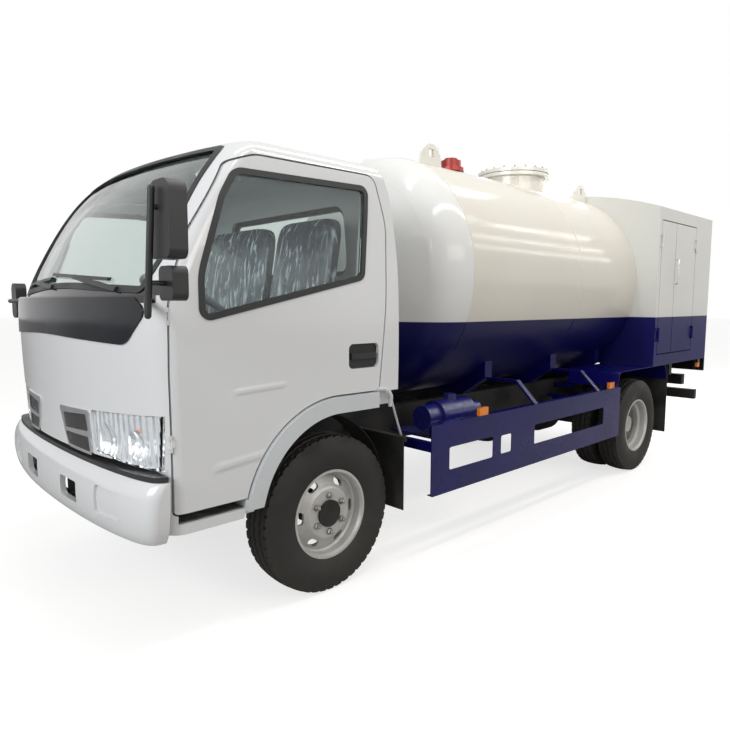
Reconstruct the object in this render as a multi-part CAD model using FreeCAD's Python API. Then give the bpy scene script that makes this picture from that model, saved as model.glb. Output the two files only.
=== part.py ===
import FreeCAD, Part
import functools
import math
import os

V = FreeCAD.Vector

# Whole vehicle, in mm: +X forward, +Y left, +Z up, ground at z = 0
front_axle_x = 1870
wheelbase = 3300
rear_axle_x = front_axle_x - wheelbase
rear_end_x = -2900
move_gap = 8
seat_gap = 0.3
bearing_clearance = 0.05
overcut = 100

# Tyres and rims
tyre_radius = 390
tyre_width = 195
tyre_segments = 40
tyre_tread_width = 132
tyre_shoulder_width = 168
tyre_shoulder_drop = 10
tyre_bulge_radius = 300
tyre_wall = 17
tyre_crown = 34
rim_seat_radius = 207
rim_flange_radius = 219
rim_width = 160
rim_lip = 5
rim_wall = 7
rim_well_depth = 23
rim_seat_y = 76
rim_well_outer_y = 30
rim_well_inner_y = 18
front_wheel_y = 740
front_disc_offset = 52
rear_outer_y = 837
rear_inner_y = 612
disc_thickness = 12
disc_flat_radius = 122
disc_dish = 34
hub_hole_radius = 66
hand_hole_count = 6
hand_hole_circle = 158
hand_hole_length = 62
hand_hole_height = 32

# Running gear
kingpin_y = 620
kingpin_radius = 17
kingpin_half = 75
knuckle_jaw_radius = 38
knuckle_jaw_height = 26
knuckle_jaw_z = 48
stub_radius = 32
axle_beam_height = 80
axle_beam_width = 70
axle_beam_groove = 48
axle_boss_radius = 46
axle_boss_half = 42
steering_arm = 190
steering_arm_height = 22
steering_arm_half_width = 23
steering_eye_radius = 26
tie_rod_radius = 13
tie_rod_drop = 94
tie_eye_radius = 24
tie_eye_height = 28
tie_pin_radius = 9
rear_tube_radius = 62
rear_tube_half = 560
rear_spindle_radius = 45
rear_spindle_half = 790
banjo_radius = 175
banjo_length = 170
pinion_radius = 85
pinion_end = 240
front_hub_in = 45
front_hub_out = 75
rear_hub_inner_y = 570
rear_hub_outer_y = 850

# Leaf springs and their hangers
spring_width = 60
spring_leaf = 11
spring_leaves = 5
spring_half_length = 600
spring_rise = 60
shortest_leaf = 0.35
front_spring_y = 365
rear_spring_y = 410
spring_eye_radius = 22
spring_pin_radius = 8
hanger_cheek = 10
hanger_half_length = 30
hanger_drop = 30
hanger_top_z = 640

# Ladder frame
rail_outer_y = 360
rail_height = 180
rail_flange = 60
rail_wall = 6
rail_top_z = 765
rail_front_x = 2790
rail_rear_x = -2765
cross_member_xs = (2740, 1080, 500, -500, -1000, -1900, -2730)
cross_member_depth = 110
cross_member_length = 60
bumper_arm_z = (600, 690)

# Engine block and driveline
engine_length = 760
engine_width = 480
engine_height = 460
engine_front_x = 2330
engine_bottom_z = 430
engine_foot_inset = 110
engine_foot_half = 40
engine_foot_height = 48
engine_foot_end_y = 340
gearbox_radius = 130
gearbox_length = 420
gearbox_rise = 140
propshaft_radius = 42

# Cab walls
cab_rear_x = 1492
cab_floor_z = 950
cab_floor_thickness = 45
cab_side_wall = 62
cab_front_wall = 48
cab_rear_wall = 40
cab_roof_wall = 34
skirt_inner_y = 718
nose_bottom_z = 785
nose_cut_x = 2722
cowl_z = 1440
# Body sections: height, nose x on the centre line, half width, rear face drawn in
lower_sections = ((515, 2850, 885, 0), (800, 2868, 899, 0), (1100, 2880, 907, 0), (1300, 2884, 907, 0),
                  (cowl_z, 2880, 904, 0))
upper_sections = ((cowl_z, 2830, 904, 0), (1565, 2783, 897, 0), (1690, 2722, 888, 6), (1870, 2618, 873, 25),
                  (1990, 2527, 859, 50), (2045, 2472, 844, 75), (2080, 2422, 806, 105), (2102, 2362, 745, 180),
                  (2116, 2280, 650, 330))
roof_curve_z = 1870
# Plans of the front, as shares of the half width and the distance behind the nose
lower_plan = ((0.0, 0), (0.33, 12), (0.55, 36), (0.66, 52), (0.77, 74), (0.884, 103), (0.945, 127), (0.982, 155),
              (1.0, 195))
upper_plan = ((0.0, 0), (0.33, 12), (0.55, 34), (0.66, 48), (0.77, 66), (0.87, 86), (0.94, 108), (0.982, 134),
              (1.0, 175))

# Cab openings seen from the side, as (x, z, corner radius)
door_bottom_z = 600
door_line = ((2700, door_bottom_z, 12), (2713, 1150, 800), (2709, 1424, 260), (2612, 1672, 700), (2424, 1970, 60),
             (2300, 2014, 200), (1628, 2022, 60), (1568, 1790, 400), (1588, 1390, 500), (1640, 900, 0),
             (1640, door_bottom_z, 0))
door_window = ((2594, 1334, 48), (2592, 1525, 300), (2480, 1838, 250), (2408, 1952, 80), (1668, 1970, 45),
               (1724, 1524, 50))
handle_view = ((1634, 1103, 26), (1830, 1103, 26), (1830, 1221, 26), (1634, 1221, 26))
handle_depth = 22
handle_bar_height = 30
# Cab openings seen from the front, as (y, z, corner radius)
windscreen_view = ((-762, 1448, 50), (0, 1482, 6000), (762, 1448, 50), (813, 1592, 140), (772, 1985, 300),
                   (745, 2068, 62), (-745, 2068, 62), (-772, 1985, 300), (-813, 1592, 140))
front_panel_view = ((0, 1277, 6000), (725, 1252, 70), (842, 1385, 40), (775, 1434, 20), (-775, 1434, 20),
                    (-842, 1385, 40), (-725, 1252, 70))
rear_window_view = ((-560, 1560, 70), (560, 1560, 70), (560, 1930, 70), (-560, 1930, 70))
grille_surround_view = ((140, 962, 14), (214, 784, 30), (434, 777, 12), (432, 968, 12))
grille_mesh_views = (((186, 935, 8), (199, 870, 8), (416, 878, 8), (405, 949, 8)),
                     ((193, 853, 8), (222, 799, 14), (420, 790, 8), (411, 853, 8)))
headlamp_view = ((444, 972, 10), (446, 800, 16), (676, 780, 120), (960, 768, 0), (960, 992, 0))
headlamp_rear_x = 2728
headlamp_depth = 40
grille_depth = 12
seal_width = 26
seal_proud = 4
seal_depth = 20
glass_thickness = 5
glass_set_in = 8
panel_thickness = 6

# Wheel arch and its flare
arch_inner = ((2324, 500, 0), (2215, 905, 420), (1500, 901, 0))
flare_width = 76
flare_proud = 18
flare_depth = 46
flare_rear_x = 1640
flare_front_x = 2500
flare_bottom_z = 548
arch_cut_rear = 200
arch_cut_low = 100

# Step well behind the door's lower edge
well_front_x = 2688
well_rear_x = 2390
well_inner_y = 738
step_sill_top_z = 557
step_thickness = 6
step_outer_y = 872

# Cab tilt hinge
tilt_axis_x = 2815
tilt_axis_z = 862
tilt_pin_radius = 14
tilt_arm_y = 300
tilt_tower_width = 30
tilt_eye_radius = 26
tilt_lug_radius = 22
tilt_lug_width = 20
tilt_side_gap = 6

# Door hinges
hinge_x = 2713
hinge_y = 897
door_return_y = 820
door_return_top_z = 1480
hinge_pin_radius = 2.4
hinge_zs = (850, 1330)
hinge_height = 66
hinge_lug_height = 18
hinge_lug_reach = 12

# Bumper: height, nose x, half width, then its plan
bumper_sections = ((495, 2878, 868), (530, 2892, 888), (580, 2900, 902), (690, 2893, 914), (742, 2862, 915))
bumper_plan = ((0.0, 0), (0.33, 6), (0.63, 24), (0.80, 43), (0.90, 60), (0.955, 76), (0.987, 96), (1.0, 120))
bumper_rear_x = 2733
bumper_wall = 22
strip_height = 20
strip_nose_x = 2862
strip_half_width = 903
strip_width = 60
tow_hole_view = ((172, 562, 14), (353, 562, 14), (353, 655, 14), (172, 655, 14))
fog_recess_view = ((531, 562, 16), (730, 572, 16), (730, 680, 16), (531, 684, 16))
fog_recess_depth = 10

# Cab fittings
steering_y = 430
steering_rake = 30
steering_centre = V(2400, steering_y, 1420)
steering_hub_depth = 50
steering_hub_radius = 55
steering_rim_radius = 205
steering_rim_tube = 15
steering_spoke_width = 28
steering_spoke_thickness = 10
column_radius = 32
shaft_radius = 10
shaft_stand = 6
seat_spans = ((190, 690), (-690, 130))
seat_base_view = ((1760, cab_floor_z + seat_gap, 0), (2160, cab_floor_z + seat_gap, 0), (2160, 1190, 0),
                  (1760, 1190, 0))
cushion_view = ((1690, 1180, 30), (2190, 1180, 60), (2190, 1320, 60), (1700, 1290, 30))
backrest_view = ((1690, 1240, 20), (1820, 1240, 40), (1735, 1860, 50), (1630, 1860, 50))
dash_view = ((2560, 1130, 60), (2900, 1130, 0), (2900, 1400, 0), (2640, 1400, 60), (2540, 1340, 60))
dash_half_width = 795
wiper_strokes = (((600, 1466), (500, 1508), (-140, 1546)), ((-60, 1484), (-150, 1526), (-700, 1506)))
wiper_blade_width = 14
wiper_arm_width = 18
mirror_root = V(2745, 790, 1440)
mirror_elbow = V(2835, 1000, 1369)
mirror_tube_top = V(2830, 1045, 1790)
mirror_tube_radius = 12
mirror_stub_radius = 9
mirror_stub_drop = 60
mirror_outer_y = 1129
mirror_view = ((985, 1560, 30), (mirror_outer_y, 1560, 30), (mirror_outer_y, 1820, 40), (990, 1820, 40))
mirror_span_x = (2745, 2812)
small_mirror_view = ((962, 1420, 25), (1068, 1420, 25), (1068, 1540, 25), (962, 1540, 25))
small_mirror_span_x = (2716, 2775)
small_mirror_stub = V(2774, 1012, 1480)
small_mirror_stub_length = 55
far_mirror_root = V(2762, 790, 1420)
far_mirror_elbow = V(2762, 1080, 1420)
far_mirror_view = ((1030, 1320, 40), (mirror_outer_y, 1320, 40), (mirror_outer_y, 1525, 40), (1030, 1525, 40))
far_mirror_span_x = (2684, 2742)

# Tank
tank_radius = 800
tank_axis_z = 1587
tank_front_x = 720
tank_rear_x = -1590
tank_knuckle_share = 0.34
tank_crown_share = 1.8
saddle_xs = (216, -659, -1400)
saddle_half = 40
saddle_half_width = 560
saddle_top_z = 1060
saddle_foot_z = 900

# Fittings on the tank's top
manhole_x = -880
manhole_neck_radius = 262
manhole_flange_radius = 300
manhole_gasket_radius = 288
manhole_flange_z = 2462
manhole_flange_height = 26
manhole_gasket_height = 5
lug_xs = (560, -1480)
lug_y = 300
lug_thickness = 20
lug_view = ((-110, 2300, 0), (110, 2300, 0), (90, 2405, 20), (30, 2462, 20), (-30, 2462, 20), (-90, 2405, 20))
lug_hole_half = 24
lug_hole_z = (2380, 2430)
post_x = 140
post_radius = 22
post_top_z = 2570
valve_x = -30
valve_steps = ((60, 2380, 2440), (100, 2412, 2438), (78, 2430, 2492), (50, 2480, 2510))

# Side guards, their stays and what stands behind them
guard_front_x = 1268
guard_rear_x = -1030
guard_y = 945
guard_bottom_z = 365
guard_top_z = 758
guard_sheet = 4
guard_return = 40
guard_windows = ((698, 1113, 490, 618), (501, 614, 495, 609), (-750, 233, 497, 625))
guard_corner = 14
guard_arm_xs = (1205, -960)
guard_arm_half = 22
guard_arm_z = (600, 650)
stay_xs = (216, -659)
stay_half = 20
stay_top_z = 905
stay_bend_y = 800
stay_depth = 16
pump_x = 800
pump_y = 690
pump_z = 740
pump_radius = 92
pump_length = 300
pump_end_radius = 72
pump_end_length = 110
pump_base_z = 600
pump_base_height = 16
pump_base_half_width = 110
marker_xs = (790, -890)
marker_half = 42
marker_height = 46
marker_depth = 22
fuel_tank_view = ((-880, 380, 60), (-420, 380, 60), (-420, 740, 60), (-880, 740, 60))
fuel_tank_x = (150, 950)
fuel_strap_xs = (350, 750)
fuel_strap_half = 20

# Rear fenders and mudguards
# Front foot (x, z), the flat top's two ends in x, rear foot (x, z)
fender_side_view = ((-935, 762), (-985, -1890), (-1945, 745))
fender_sheet = 4
fender_y = (535, 960)
fender_bracket_xs = (-1060, -1850)
fender_bracket_half = 20
fender_bracket_z = (700, 740)
liner_radius = 475
liner_sheet = 4
liner_y = (545, 702)
liner_angles = (14, 172)
liner_bracket_half = 20
liner_bracket_xs = (2050, 1690)
flap_thickness = 6
front_flap_x = 1388
front_flap_z = (300, 700)
front_flap_y = (545, 850)
rear_flap_x = -1960
rear_flap_bottom_z = 262
rear_flap_y = (505, 955)
flap_arm_z = (700, 730)

# Cabinet behind the tank
cabinet_rear_x = -2860
cabinet_half_width = 970
cabinet_bottom_z = 880
cabinet_eaves_z = 2220
cabinet_crown_z = 2392
cabinet_wall = 30
cabinet_valance_z = 755
cabinet_valance_depth = 20
cabinet_bearer_front_x = -2010
cabinet_bearer_inset = 60
cabinet_bearer_xs = (-2150, -2780)
cabinet_bearer_half = 30
cabinet_doors = ((-1650, -1960), (-2444, -1968))
cabinet_door_bottom = 985
cabinet_door_top = 2110
barrel_radius = 9
barrel_pin_radius = 5
barrel_half = 30
barrel_end_length = 30
barrel_zs = (1150, 1950)
barrel_strap = 45
barrel_strap_proud = 4
barrel_gap = 1
barrel_y = cabinet_half_width + barrel_radius

# Bars at the rear
lamp_bar_x = (-2842, -2770)
lamp_bar_z = (605, 708)
lamp_bar_half_width = 800
lamp_hanger_y = (300, 355)
underrun_depth = 60
underrun_half_width = 900
underrun_z = (461, 555)
underrun_hanger_x = -2690
underrun_hanger_width = 21
side_lamp_x = (-2745, -2690)
side_lamp_z = 800
side_lamp_depth = 20
side_lamp_inset = 6


def box(x0, x1, y0, y1, z0, z1):
    return Part.makeBox(x1 - x0, y1 - y0, z1 - z0, V(x0, y0, z0))


def cylinder(start, axis, radius, length):
    return Part.makeCylinder(radius, length, V(*start), V(*axis))


def mirrored(shape):
    return shape.mirror(V(0, 0, 0), V(0, 1, 0))


def pair(shape):
    return [shape, mirrored(shape)]


def fuse(shapes):
    whole = shapes[0].multiFuse(shapes[1:]) if len(shapes) > 1 else shapes[0]
    return whole.removeSplitter()


def largest(shape):
    return max(shape.Solids, key=lambda solid: solid.Volume)


def placed(shape, x, z):
    moved = shape.copy()
    moved.translate(V(x, 0, z))
    return moved


def save(name, shapes):
    shapes = shapes if isinstance(shapes, list) else [shapes]
    solids = [solid for shape in shapes for solid in shape.Solids]
    whole = solids[0] if len(solids) == 1 else Part.makeCompound(solids)
    whole.exportStep(f"parts/{name}.step")


def rounded_corners(corners):
    """Lines between the corners (u, v, r), with an arc of radius r at each corner."""
    points = [V(u, v, 0) for u, v, r in corners]
    radii = [r for u, v, r in corners]
    ends = []
    for i, corner in enumerate(points):
        before = points[i - 1] - corner
        after = points[(i + 1) % len(points)] - corner
        half = before.getAngle(after) / 2
        reach = radii[i] / math.tan(half) if radii[i] else 0
        before.normalize()
        after.normalize()
        middle = before + after
        if radii[i]:
            middle.normalize()
            depth = radii[i] / math.sin(half) - radii[i]
            ends.append((corner + before * reach, corner + middle * depth, corner + after * reach))
        else:
            ends.append((corner, None, corner))
    return ends


def outline(corners, place, closed=True):
    """A wire of lines and arcs; place turns flat (u, v) into a point in space."""
    ends = rounded_corners(corners)
    if not closed:
        ends[0] = (V(*corners[0][:2], 0), None, V(*corners[0][:2], 0))
        ends[-1] = (V(*corners[-1][:2], 0), None, V(*corners[-1][:2], 0))
    edges = []
    for i, (start, middle, end) in enumerate(ends):
        if middle is not None:
            edges.append(Part.Arc(place(start), place(middle), place(end)).toShape())
        following = ends[(i + 1) % len(ends)][0]
        last = i == len(ends) - 1
        if (closed or not last) and (following - end).Length > 1e-6:
            edges.append(Part.LineSegment(place(end), place(following)).toShape())
    return Part.Wire(edges)


def prism_xz(corners, y0, y1):
    wire = outline(corners, lambda p: V(p.x, y0, p.y))
    return Part.Face(wire).extrude(V(0, y1 - y0, 0))


def prism_yz(corners, x0, x1):
    wire = outline(corners, lambda p: V(x0, p.x, p.y))
    return Part.Face(wire).extrude(V(x1 - x0, 0, 0))


def prism_xy(corners, z0, z1):
    wire = outline(corners, lambda p: V(p.x, p.y, z0))
    return Part.Face(wire).extrude(V(0, 0, z1 - z0))


def revolve_y(corners):
    """Turn the closed profile of (radius, y, corner radius) about the Y axis."""
    wire = outline(corners, lambda p: V(0, p.y, p.x))
    return Part.Face(wire).revolve(V(0, 0, 0), V(0, 1, 0), 360)


# Cab body
def nose_outline(plan, height, nose_x, half_width, back_x):
    """One closed level outline with a curved nose; half_width is the full form's, plan gives its curve."""
    right = [V(nose_x - drop, -half_width * share, height) for share, drop in reversed(plan[1:])]
    left = [V(nose_x - drop, half_width * share, height) for share, drop in plan]
    nose = Part.BSplineCurve()
    nose.interpolate(right + left)
    corner_left = V(back_x, half_width, height)
    corner_right = V(back_x, -half_width, height)
    return Part.Wire([
        Part.LineSegment(corner_left, corner_right).toShape(),
        Part.LineSegment(corner_right, right[0]).toShape(),
        nose.toShape(),
        Part.LineSegment(left[-1], corner_left).toShape()])


@functools.lru_cache(maxsize=None)
def cab_form(side, front, rear, roof):
    """The cab's outer form, drawn in by its wall thicknesses, with a ledge at the screen's foot."""
    roof_rise = upper_sections[-1][0] - roof_curve_z

    def wire(plan, z, x, w, r):
        level = z - front if z == cowl_z else z - roof * max(0, (z - roof_curve_z) / roof_rise)
        return nose_outline(plan, level, x - front, w - side, cab_rear_x + r + rear)
    lower = [wire(lower_plan, *section) for section in lower_sections]
    upper = [wire(upper_plan, *section) for section in upper_sections]
    return fuse([Part.makeLoft(lower, True), Part.makeLoft(upper, True)])


def skin(outward, inward):
    """The layer of the cab's form between two depths, negative outside the form."""
    return cab_form(outward, outward, outward, outward).cut(cab_form(inward, inward, inward, inward))


def offset_prism(corners, inward, place, sweep):
    wire = outline(corners, place)
    if inward:
        wire = wire.makeOffset2D(-inward)
    return Part.Face(wire).extrude(sweep)


def side_cut(corners, inward, y0=560, y1=1000):
    return offset_prism(corners, inward, lambda p: V(p.x, y0, p.y), V(0, y1 - y0, 0))


def front_cut(corners, inward, x0=2100, x1=3200):
    return offset_prism(corners, inward, lambda p: V(x0, p.x, p.y), V(x1 - x0, 0, 0))


def rear_cut(corners, inward):
    return front_cut(corners, inward, cab_rear_x - overcut, cab_rear_x + overcut + cab_rear_wall)


def arch_line(outward):
    """The wheel arch's edge as an open outline, moved outward from the wheel."""
    wire = outline(arch_inner, lambda p: V(p.x, 0, p.y), closed=False)
    return wire.makeOffset2D(-outward, 2, False, True) if outward else wire


def arch_space(outward, y0, y1):
    """The space under the wheel arch's edge, down past the sill."""
    wire = arch_line(outward)
    ends = [wire.OrderedVertexes[0].Point, wire.OrderedVertexes[-1].Point]
    front, rear = (ends[0], ends[1]) if ends[0].x > ends[1].x else (ends[1], ends[0])
    back_x = rear.x - arch_cut_rear
    stops = [front, V(front.x, 0, arch_cut_low), V(back_x, 0, arch_cut_low), V(back_x, 0, rear.z), rear]
    edges = [Part.LineSegment(a, b).toShape() for a, b in zip(stops, stops[1:])]
    closed = Part.Wire(Part.__sortEdges__(wire.Edges + edges))
    space = Part.Face(closed).extrude(V(0, y1 - y0, 0))
    space.translate(V(0, y0, 0))
    return space


def make_cab():
    """The hollow shell with its openings, and the door's skin cut from the same form.

    The door's front end is cut back inside so that it swings past the pillar and the dashboard."""
    outer = cab_form(0, 0, 0, 0)
    cavity = cab_form(cab_side_wall, cab_front_wall, cab_rear_wall, cab_roof_wall)
    room = cavity.common(box(0, 4000, -1000, 1000, cab_floor_z, 3000))
    under_floor_z = cab_floor_z - cab_floor_thickness
    tower_x = tilt_axis_x + tilt_eye_radius + move_gap
    pocket_y = (tilt_arm_y - tilt_side_gap - tilt_lug_width - 24, tilt_arm_y + tilt_tower_width + 60)
    body = outer.cut(room)
    flare_bed = cab_form(-overcut, 0, 0, 0).cut(cab_form(flare_depth + seat_gap, 0, 0, 0))
    cuts = [box(1000, 2818, -skirt_inner_y, skirt_inner_y, 0, under_floor_z),
            box(nose_cut_x, 3200, -1000, 1000, 0, nose_bottom_z),
            arch_space(0, -1000, 1000)]
    cuts += pair(flare_bed.common(arch_space(flare_width + seat_gap, 0, 1000)))
    cuts += pair(box(nose_cut_x, tower_x, *pocket_y, 0, under_floor_z))
    cuts += pair(box(well_rear_x, well_front_x, well_inner_y, 1000, step_sill_top_z, under_floor_z))
    cuts += pair(skin(-overcut, cab_side_wall + move_gap).common(side_cut(door_line, -move_gap)))
    cuts += [front_cut(windscreen_view, 0), rear_cut(rear_window_view, 0)]
    for cut in cuts:
        body = body.cut(cut)
    door = outer.cut(cavity).common(side_cut(door_line, 0)).cut(arch_space(flare_width + move_gap, 0, 1000))
    swing_room = box(0, 4000, 0, door_return_y, 0, door_return_top_z)
    return body, largest(door.cut(swing_room))


def make_seal_and_glass(cutter):
    """A rubber ring in a window opening and the pane inside it, both following the cab's form."""
    seal = skin(-seal_proud, seal_depth).common(cutter(seat_gap)).cut(cutter(seal_width))
    pane = skin(glass_set_in, glass_set_in + glass_thickness)
    return largest(seal), largest(pane.common(cutter(seal_width + seat_gap)))


def make_front_panel():
    return largest(skin(-panel_thickness, -seat_gap).common(front_cut(front_panel_view, 0)))


def make_flare():
    band = arch_space(flare_width, skirt_inner_y, 1000).cut(arch_space(0, skirt_inner_y - overcut, 1100))
    band = band.common(box(flare_rear_x, flare_front_x, 600, 1000, flare_bottom_z, 1200))
    layer = cab_form(-flare_proud, 0, 0, 0).cut(cab_form(flare_depth, 0, 0, 0))
    return largest(band.common(layer))


def make_handle():
    """A dished tray in the door's recess, with the pull bar across it."""
    tray = skin(handle_depth - 5, handle_depth - seat_gap).common(side_cut(handle_view, seat_gap))
    low_z, high_z = handle_view[0][1], handle_view[2][1]
    bar_z = (low_z + high_z) / 2
    bar = skin(0, handle_depth - 4).common(side_cut(handle_view, 18))
    bar = bar.common(box(0, 4000, 0, 1000, bar_z - handle_bar_height / 2, bar_z + handle_bar_height / 2))
    return fuse([largest(tray), largest(bar)])


def make_tilt_lugs():
    """Lugs under the cab floor with the pins that pass through the towers' eyes."""
    x, z = tilt_axis_x, tilt_axis_z
    inner_y = tilt_arm_y - tilt_side_gap - tilt_lug_width
    outer_y = tilt_arm_y + tilt_tower_width + tilt_side_gap
    shapes = []
    for y in (inner_y, outer_y):
        shapes.append(box(x - tilt_lug_radius, x + tilt_lug_radius, y, y + tilt_lug_width, z,
                          cab_floor_z - cab_floor_thickness + 1))
        shapes.append(cylinder((x, y, z), (0, 1, 0), tilt_lug_radius, tilt_lug_width))
    shapes.append(cylinder((x, inner_y, z), (0, 1, 0), tilt_pin_radius, outer_y + tilt_lug_width - inner_y))
    return fuse(shapes)


def make_door_hinges():
    """Pins held by the pillar's lugs, and the door's lugs that turn on them, inside the shut line."""
    pillar, leaf = [], []
    depth = 2 * hinge_lug_reach
    for z in hinge_zs:
        pillar.append(cylinder((hinge_x, hinge_y, z), (0, 0, 1), hinge_pin_radius, hinge_height))
        for low in (z, z + hinge_height - hinge_lug_height):
            pillar.append(box(hinge_x - 1, hinge_x + hinge_lug_reach, hinge_y - depth, hinge_y + 2, low,
                              low + hinge_lug_height))
        lug = box(hinge_x - hinge_lug_reach, hinge_x + 1, hinge_y - depth, hinge_y + 2,
                  z + hinge_lug_height + 1, z + hinge_height - hinge_lug_height - 1)
        leaf.append(lug.cut(cylinder((hinge_x, hinge_y, z), (0, 0, 1), hinge_pin_radius + bearing_clearance,
                                     hinge_height)))
    return pillar, leaf


def make_grille():
    """Mesh panels, two on each side of the nose, and the bright surround of each pair."""
    panels = []
    ring = skin(-panel_thickness, grille_depth - seat_gap).common(front_cut(grille_surround_view, seat_gap, 2500))
    for view in grille_mesh_views:
        mesh = skin(2, grille_depth - seat_gap).common(front_cut(view, seat_gap, 2500))
        panels += pair(largest(mesh))
        ring = ring.cut(front_cut(view, 0, 2500))
    return panels, pair(largest(ring))


def lamp_pocket(inward):
    return front_cut(headlamp_view, inward, 2600).common(box(headlamp_rear_x + inward, 3200, 0, 1000, 0, 3000))


def make_headlamps():
    return pair(largest(skin(2, headlamp_depth).common(lamp_pocket(seat_gap))))


def strip_cut(start, end, width):
    """A flat strip between two points of the front view, swept along the vehicle."""
    along = V(end[0] - start[0], end[1] - start[1], 0)
    along.normalize()
    across = V(-along.y, along.x, 0) * (width / 2)
    corners = [V(*start, 0) + across, V(*start, 0) - across, V(*end, 0) - across, V(*end, 0) + across]
    return front_cut([(c.x, c.y, 0) for c in corners], 0)


def make_wipers():
    """Blades that follow the glass, with their arms above them and their pivots at the screen's foot."""
    blade_layer = skin(-6, glass_set_in - seat_gap)
    arm_layer = skin(-14, -5)
    wipers = []
    for pivot, start, tip in wiper_strokes:
        middle = ((start[0] + tip[0]) / 2, (start[1] + tip[1]) / 2)
        blade = largest(blade_layer.common(strip_cut(start, tip, wiper_blade_width)))
        arm = largest(arm_layer.common(strip_cut(pivot, middle, wiper_arm_width)))
        wipers.append(fuse([blade, arm]))
    return wipers


def bent_tube(*stops):
    """A round tube through the stops, with a ball at each bend and at its end."""
    shapes = [Part.makeCylinder(mirror_tube_radius, (b - a).Length, a, b - a) for a, b in zip(stops, stops[1:])]
    return shapes + [Part.makeSphere(mirror_tube_radius, stop) for stop in stops[1:]]


def mirror_stub(start, length):
    return cylinder(start, (1, 0, 0), mirror_stub_radius, length)


def make_mirrors():
    """Driver's main and small heads on a bent tube from the screen's corner, and the far side's single head."""
    main_stub = V(mirror_span_x[1] - 1, mirror_tube_top.y, mirror_tube_top.z - mirror_stub_drop)
    near = bent_tube(mirror_root, mirror_elbow, mirror_tube_top)
    near += [prism_yz(mirror_view, *mirror_span_x), prism_yz(small_mirror_view, *small_mirror_span_x),
             mirror_stub(main_stub, mirror_tube_radius + seat_gap),
             mirror_stub(small_mirror_stub, small_mirror_stub_length)]
    head_x = far_mirror_span_x[1]
    far = bent_tube(far_mirror_root, far_mirror_elbow)
    far += [prism_yz(far_mirror_view, *far_mirror_span_x),
            mirror_stub(V(head_x - 1, far_mirror_elbow.y, far_mirror_elbow.z), far_mirror_elbow.x - head_x)]
    sides = [largest(fuse(shapes).cut(cab_form(-seat_gap, -seat_gap, 0, 0))) for shapes in (near, far)]
    return [sides[0], mirrored(sides[1])]


def make_steps():
    return pair(box(well_rear_x + 5, well_front_x - 5, well_inner_y + 5, step_outer_y, step_sill_top_z + seat_gap,
                    step_sill_top_z + step_thickness))


# Cab interior
def make_seats():
    seats = []
    for y0, y1 in seat_spans:
        base = prism_xz(seat_base_view, y0 + 60, y1 - 60)
        cushion = prism_xz(cushion_view, y0, y1)
        back = prism_xz(backrest_view, y0 + 10, y1 - 10)
        seats.append(fuse([base, cushion, back]))
    return seats


def wheel_direction():
    rake = math.radians(steering_rake)
    return V(-math.sin(rake), 0, math.cos(rake))


def make_dashboard():
    inner = cab_form(cab_side_wall + 40, cab_front_wall + seat_gap, cab_rear_wall, cab_roof_wall)
    dash = inner.common(prism_xz(dash_view, -dash_half_width, dash_half_width))
    return [largest(dash), make_column()]


def make_column():
    """Steering column from the floor up to the wheel, with the shaft that the wheel turns on."""
    tilt = wheel_direction()
    top = steering_centre - tilt * (steering_hub_depth + shaft_stand)
    length = (top.z - cab_floor_z) / tilt.z + column_radius
    column = Part.makeCylinder(column_radius, length, top - tilt * length, tilt)
    shaft = Part.makeCylinder(shaft_radius, shaft_stand + steering_hub_depth - 16, top - tilt, tilt)
    return column.cut(box(0, 4000, -1000, 1000, 0, cab_floor_z + seat_gap)).fuse(shaft)


def make_steering_wheel():
    """Rim, three flat spokes and hub, made level and then raked."""
    depth = steering_hub_depth
    hub = Part.makeCylinder(steering_hub_radius, depth, V(0, 0, -depth))
    shapes = [hub]
    for angle in (90, 210, 330):
        spoke = box(steering_hub_radius / 2, steering_rim_radius - 5, -steering_spoke_width / 2,
                    steering_spoke_width / 2, -steering_spoke_thickness, 0)
        spoke.rotate(V(0, 0, 0), V(0, 0, 1), angle)
        shapes.append(spoke)
    wheel = Part.makeTorus(steering_rim_radius, steering_rim_tube).fuse(fuse(shapes))
    wheel = wheel.cut(Part.makeCylinder(shaft_radius + bearing_clearance, depth - 5, V(0, 0, -depth - 5)))
    wheel.rotate(V(0, 0, 0), V(0, 1, 0), -steering_rake)
    wheel.translate(steering_centre)
    return wheel


# Road wheels
def tyre_profile():
    """Corners of the section, as (radius, distance from the middle), outside first."""
    bead = (rim_seat_radius + seat_gap) / math.cos(math.pi / tyre_segments)
    tread, shoulder, side = tyre_tread_width / 2, tyre_shoulder_width / 2, tyre_width / 2
    outer = [(bead, rim_seat_y - 1), (tyre_bulge_radius, side), (tyre_radius - tyre_shoulder_drop, shoulder),
             (tyre_radius, tread)]
    inner = [(tyre_radius - tyre_crown, side - tyre_wall), (bead, rim_seat_y - tyre_wall)]
    left = [(r, y) for r, y in outer + [(r, -y) for r, y in reversed(outer)]]
    return left + [(r, -y) for r, y in reversed(inner)] + inner


def make_tyre(centre_y):
    """A ring of flat facets with a corner straight down, where it meets the road."""
    section = tyre_profile()
    rings = []
    for i in range(tyre_segments):
        angle = 2 * math.pi * i / tyre_segments - math.pi / 2
        rings.append([V(r * math.cos(angle), centre_y + y, r * math.sin(angle)) for r, y in section])
    faces = []
    for ring, following in zip(rings, rings[1:] + rings[:1]):
        for j in range(len(ring)):
            k = (j + 1) % len(ring)
            corners = [ring[j], ring[k], following[k], following[j]]
            faces.append(Part.Face(Part.makePolygon(corners + corners[:1])))
    shell = Part.makeShell(faces)
    shell.sewShape()
    tyre = Part.makeSolid(shell)
    if tyre.Volume < 0:
        tyre.reverse()
    return tyre


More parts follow.
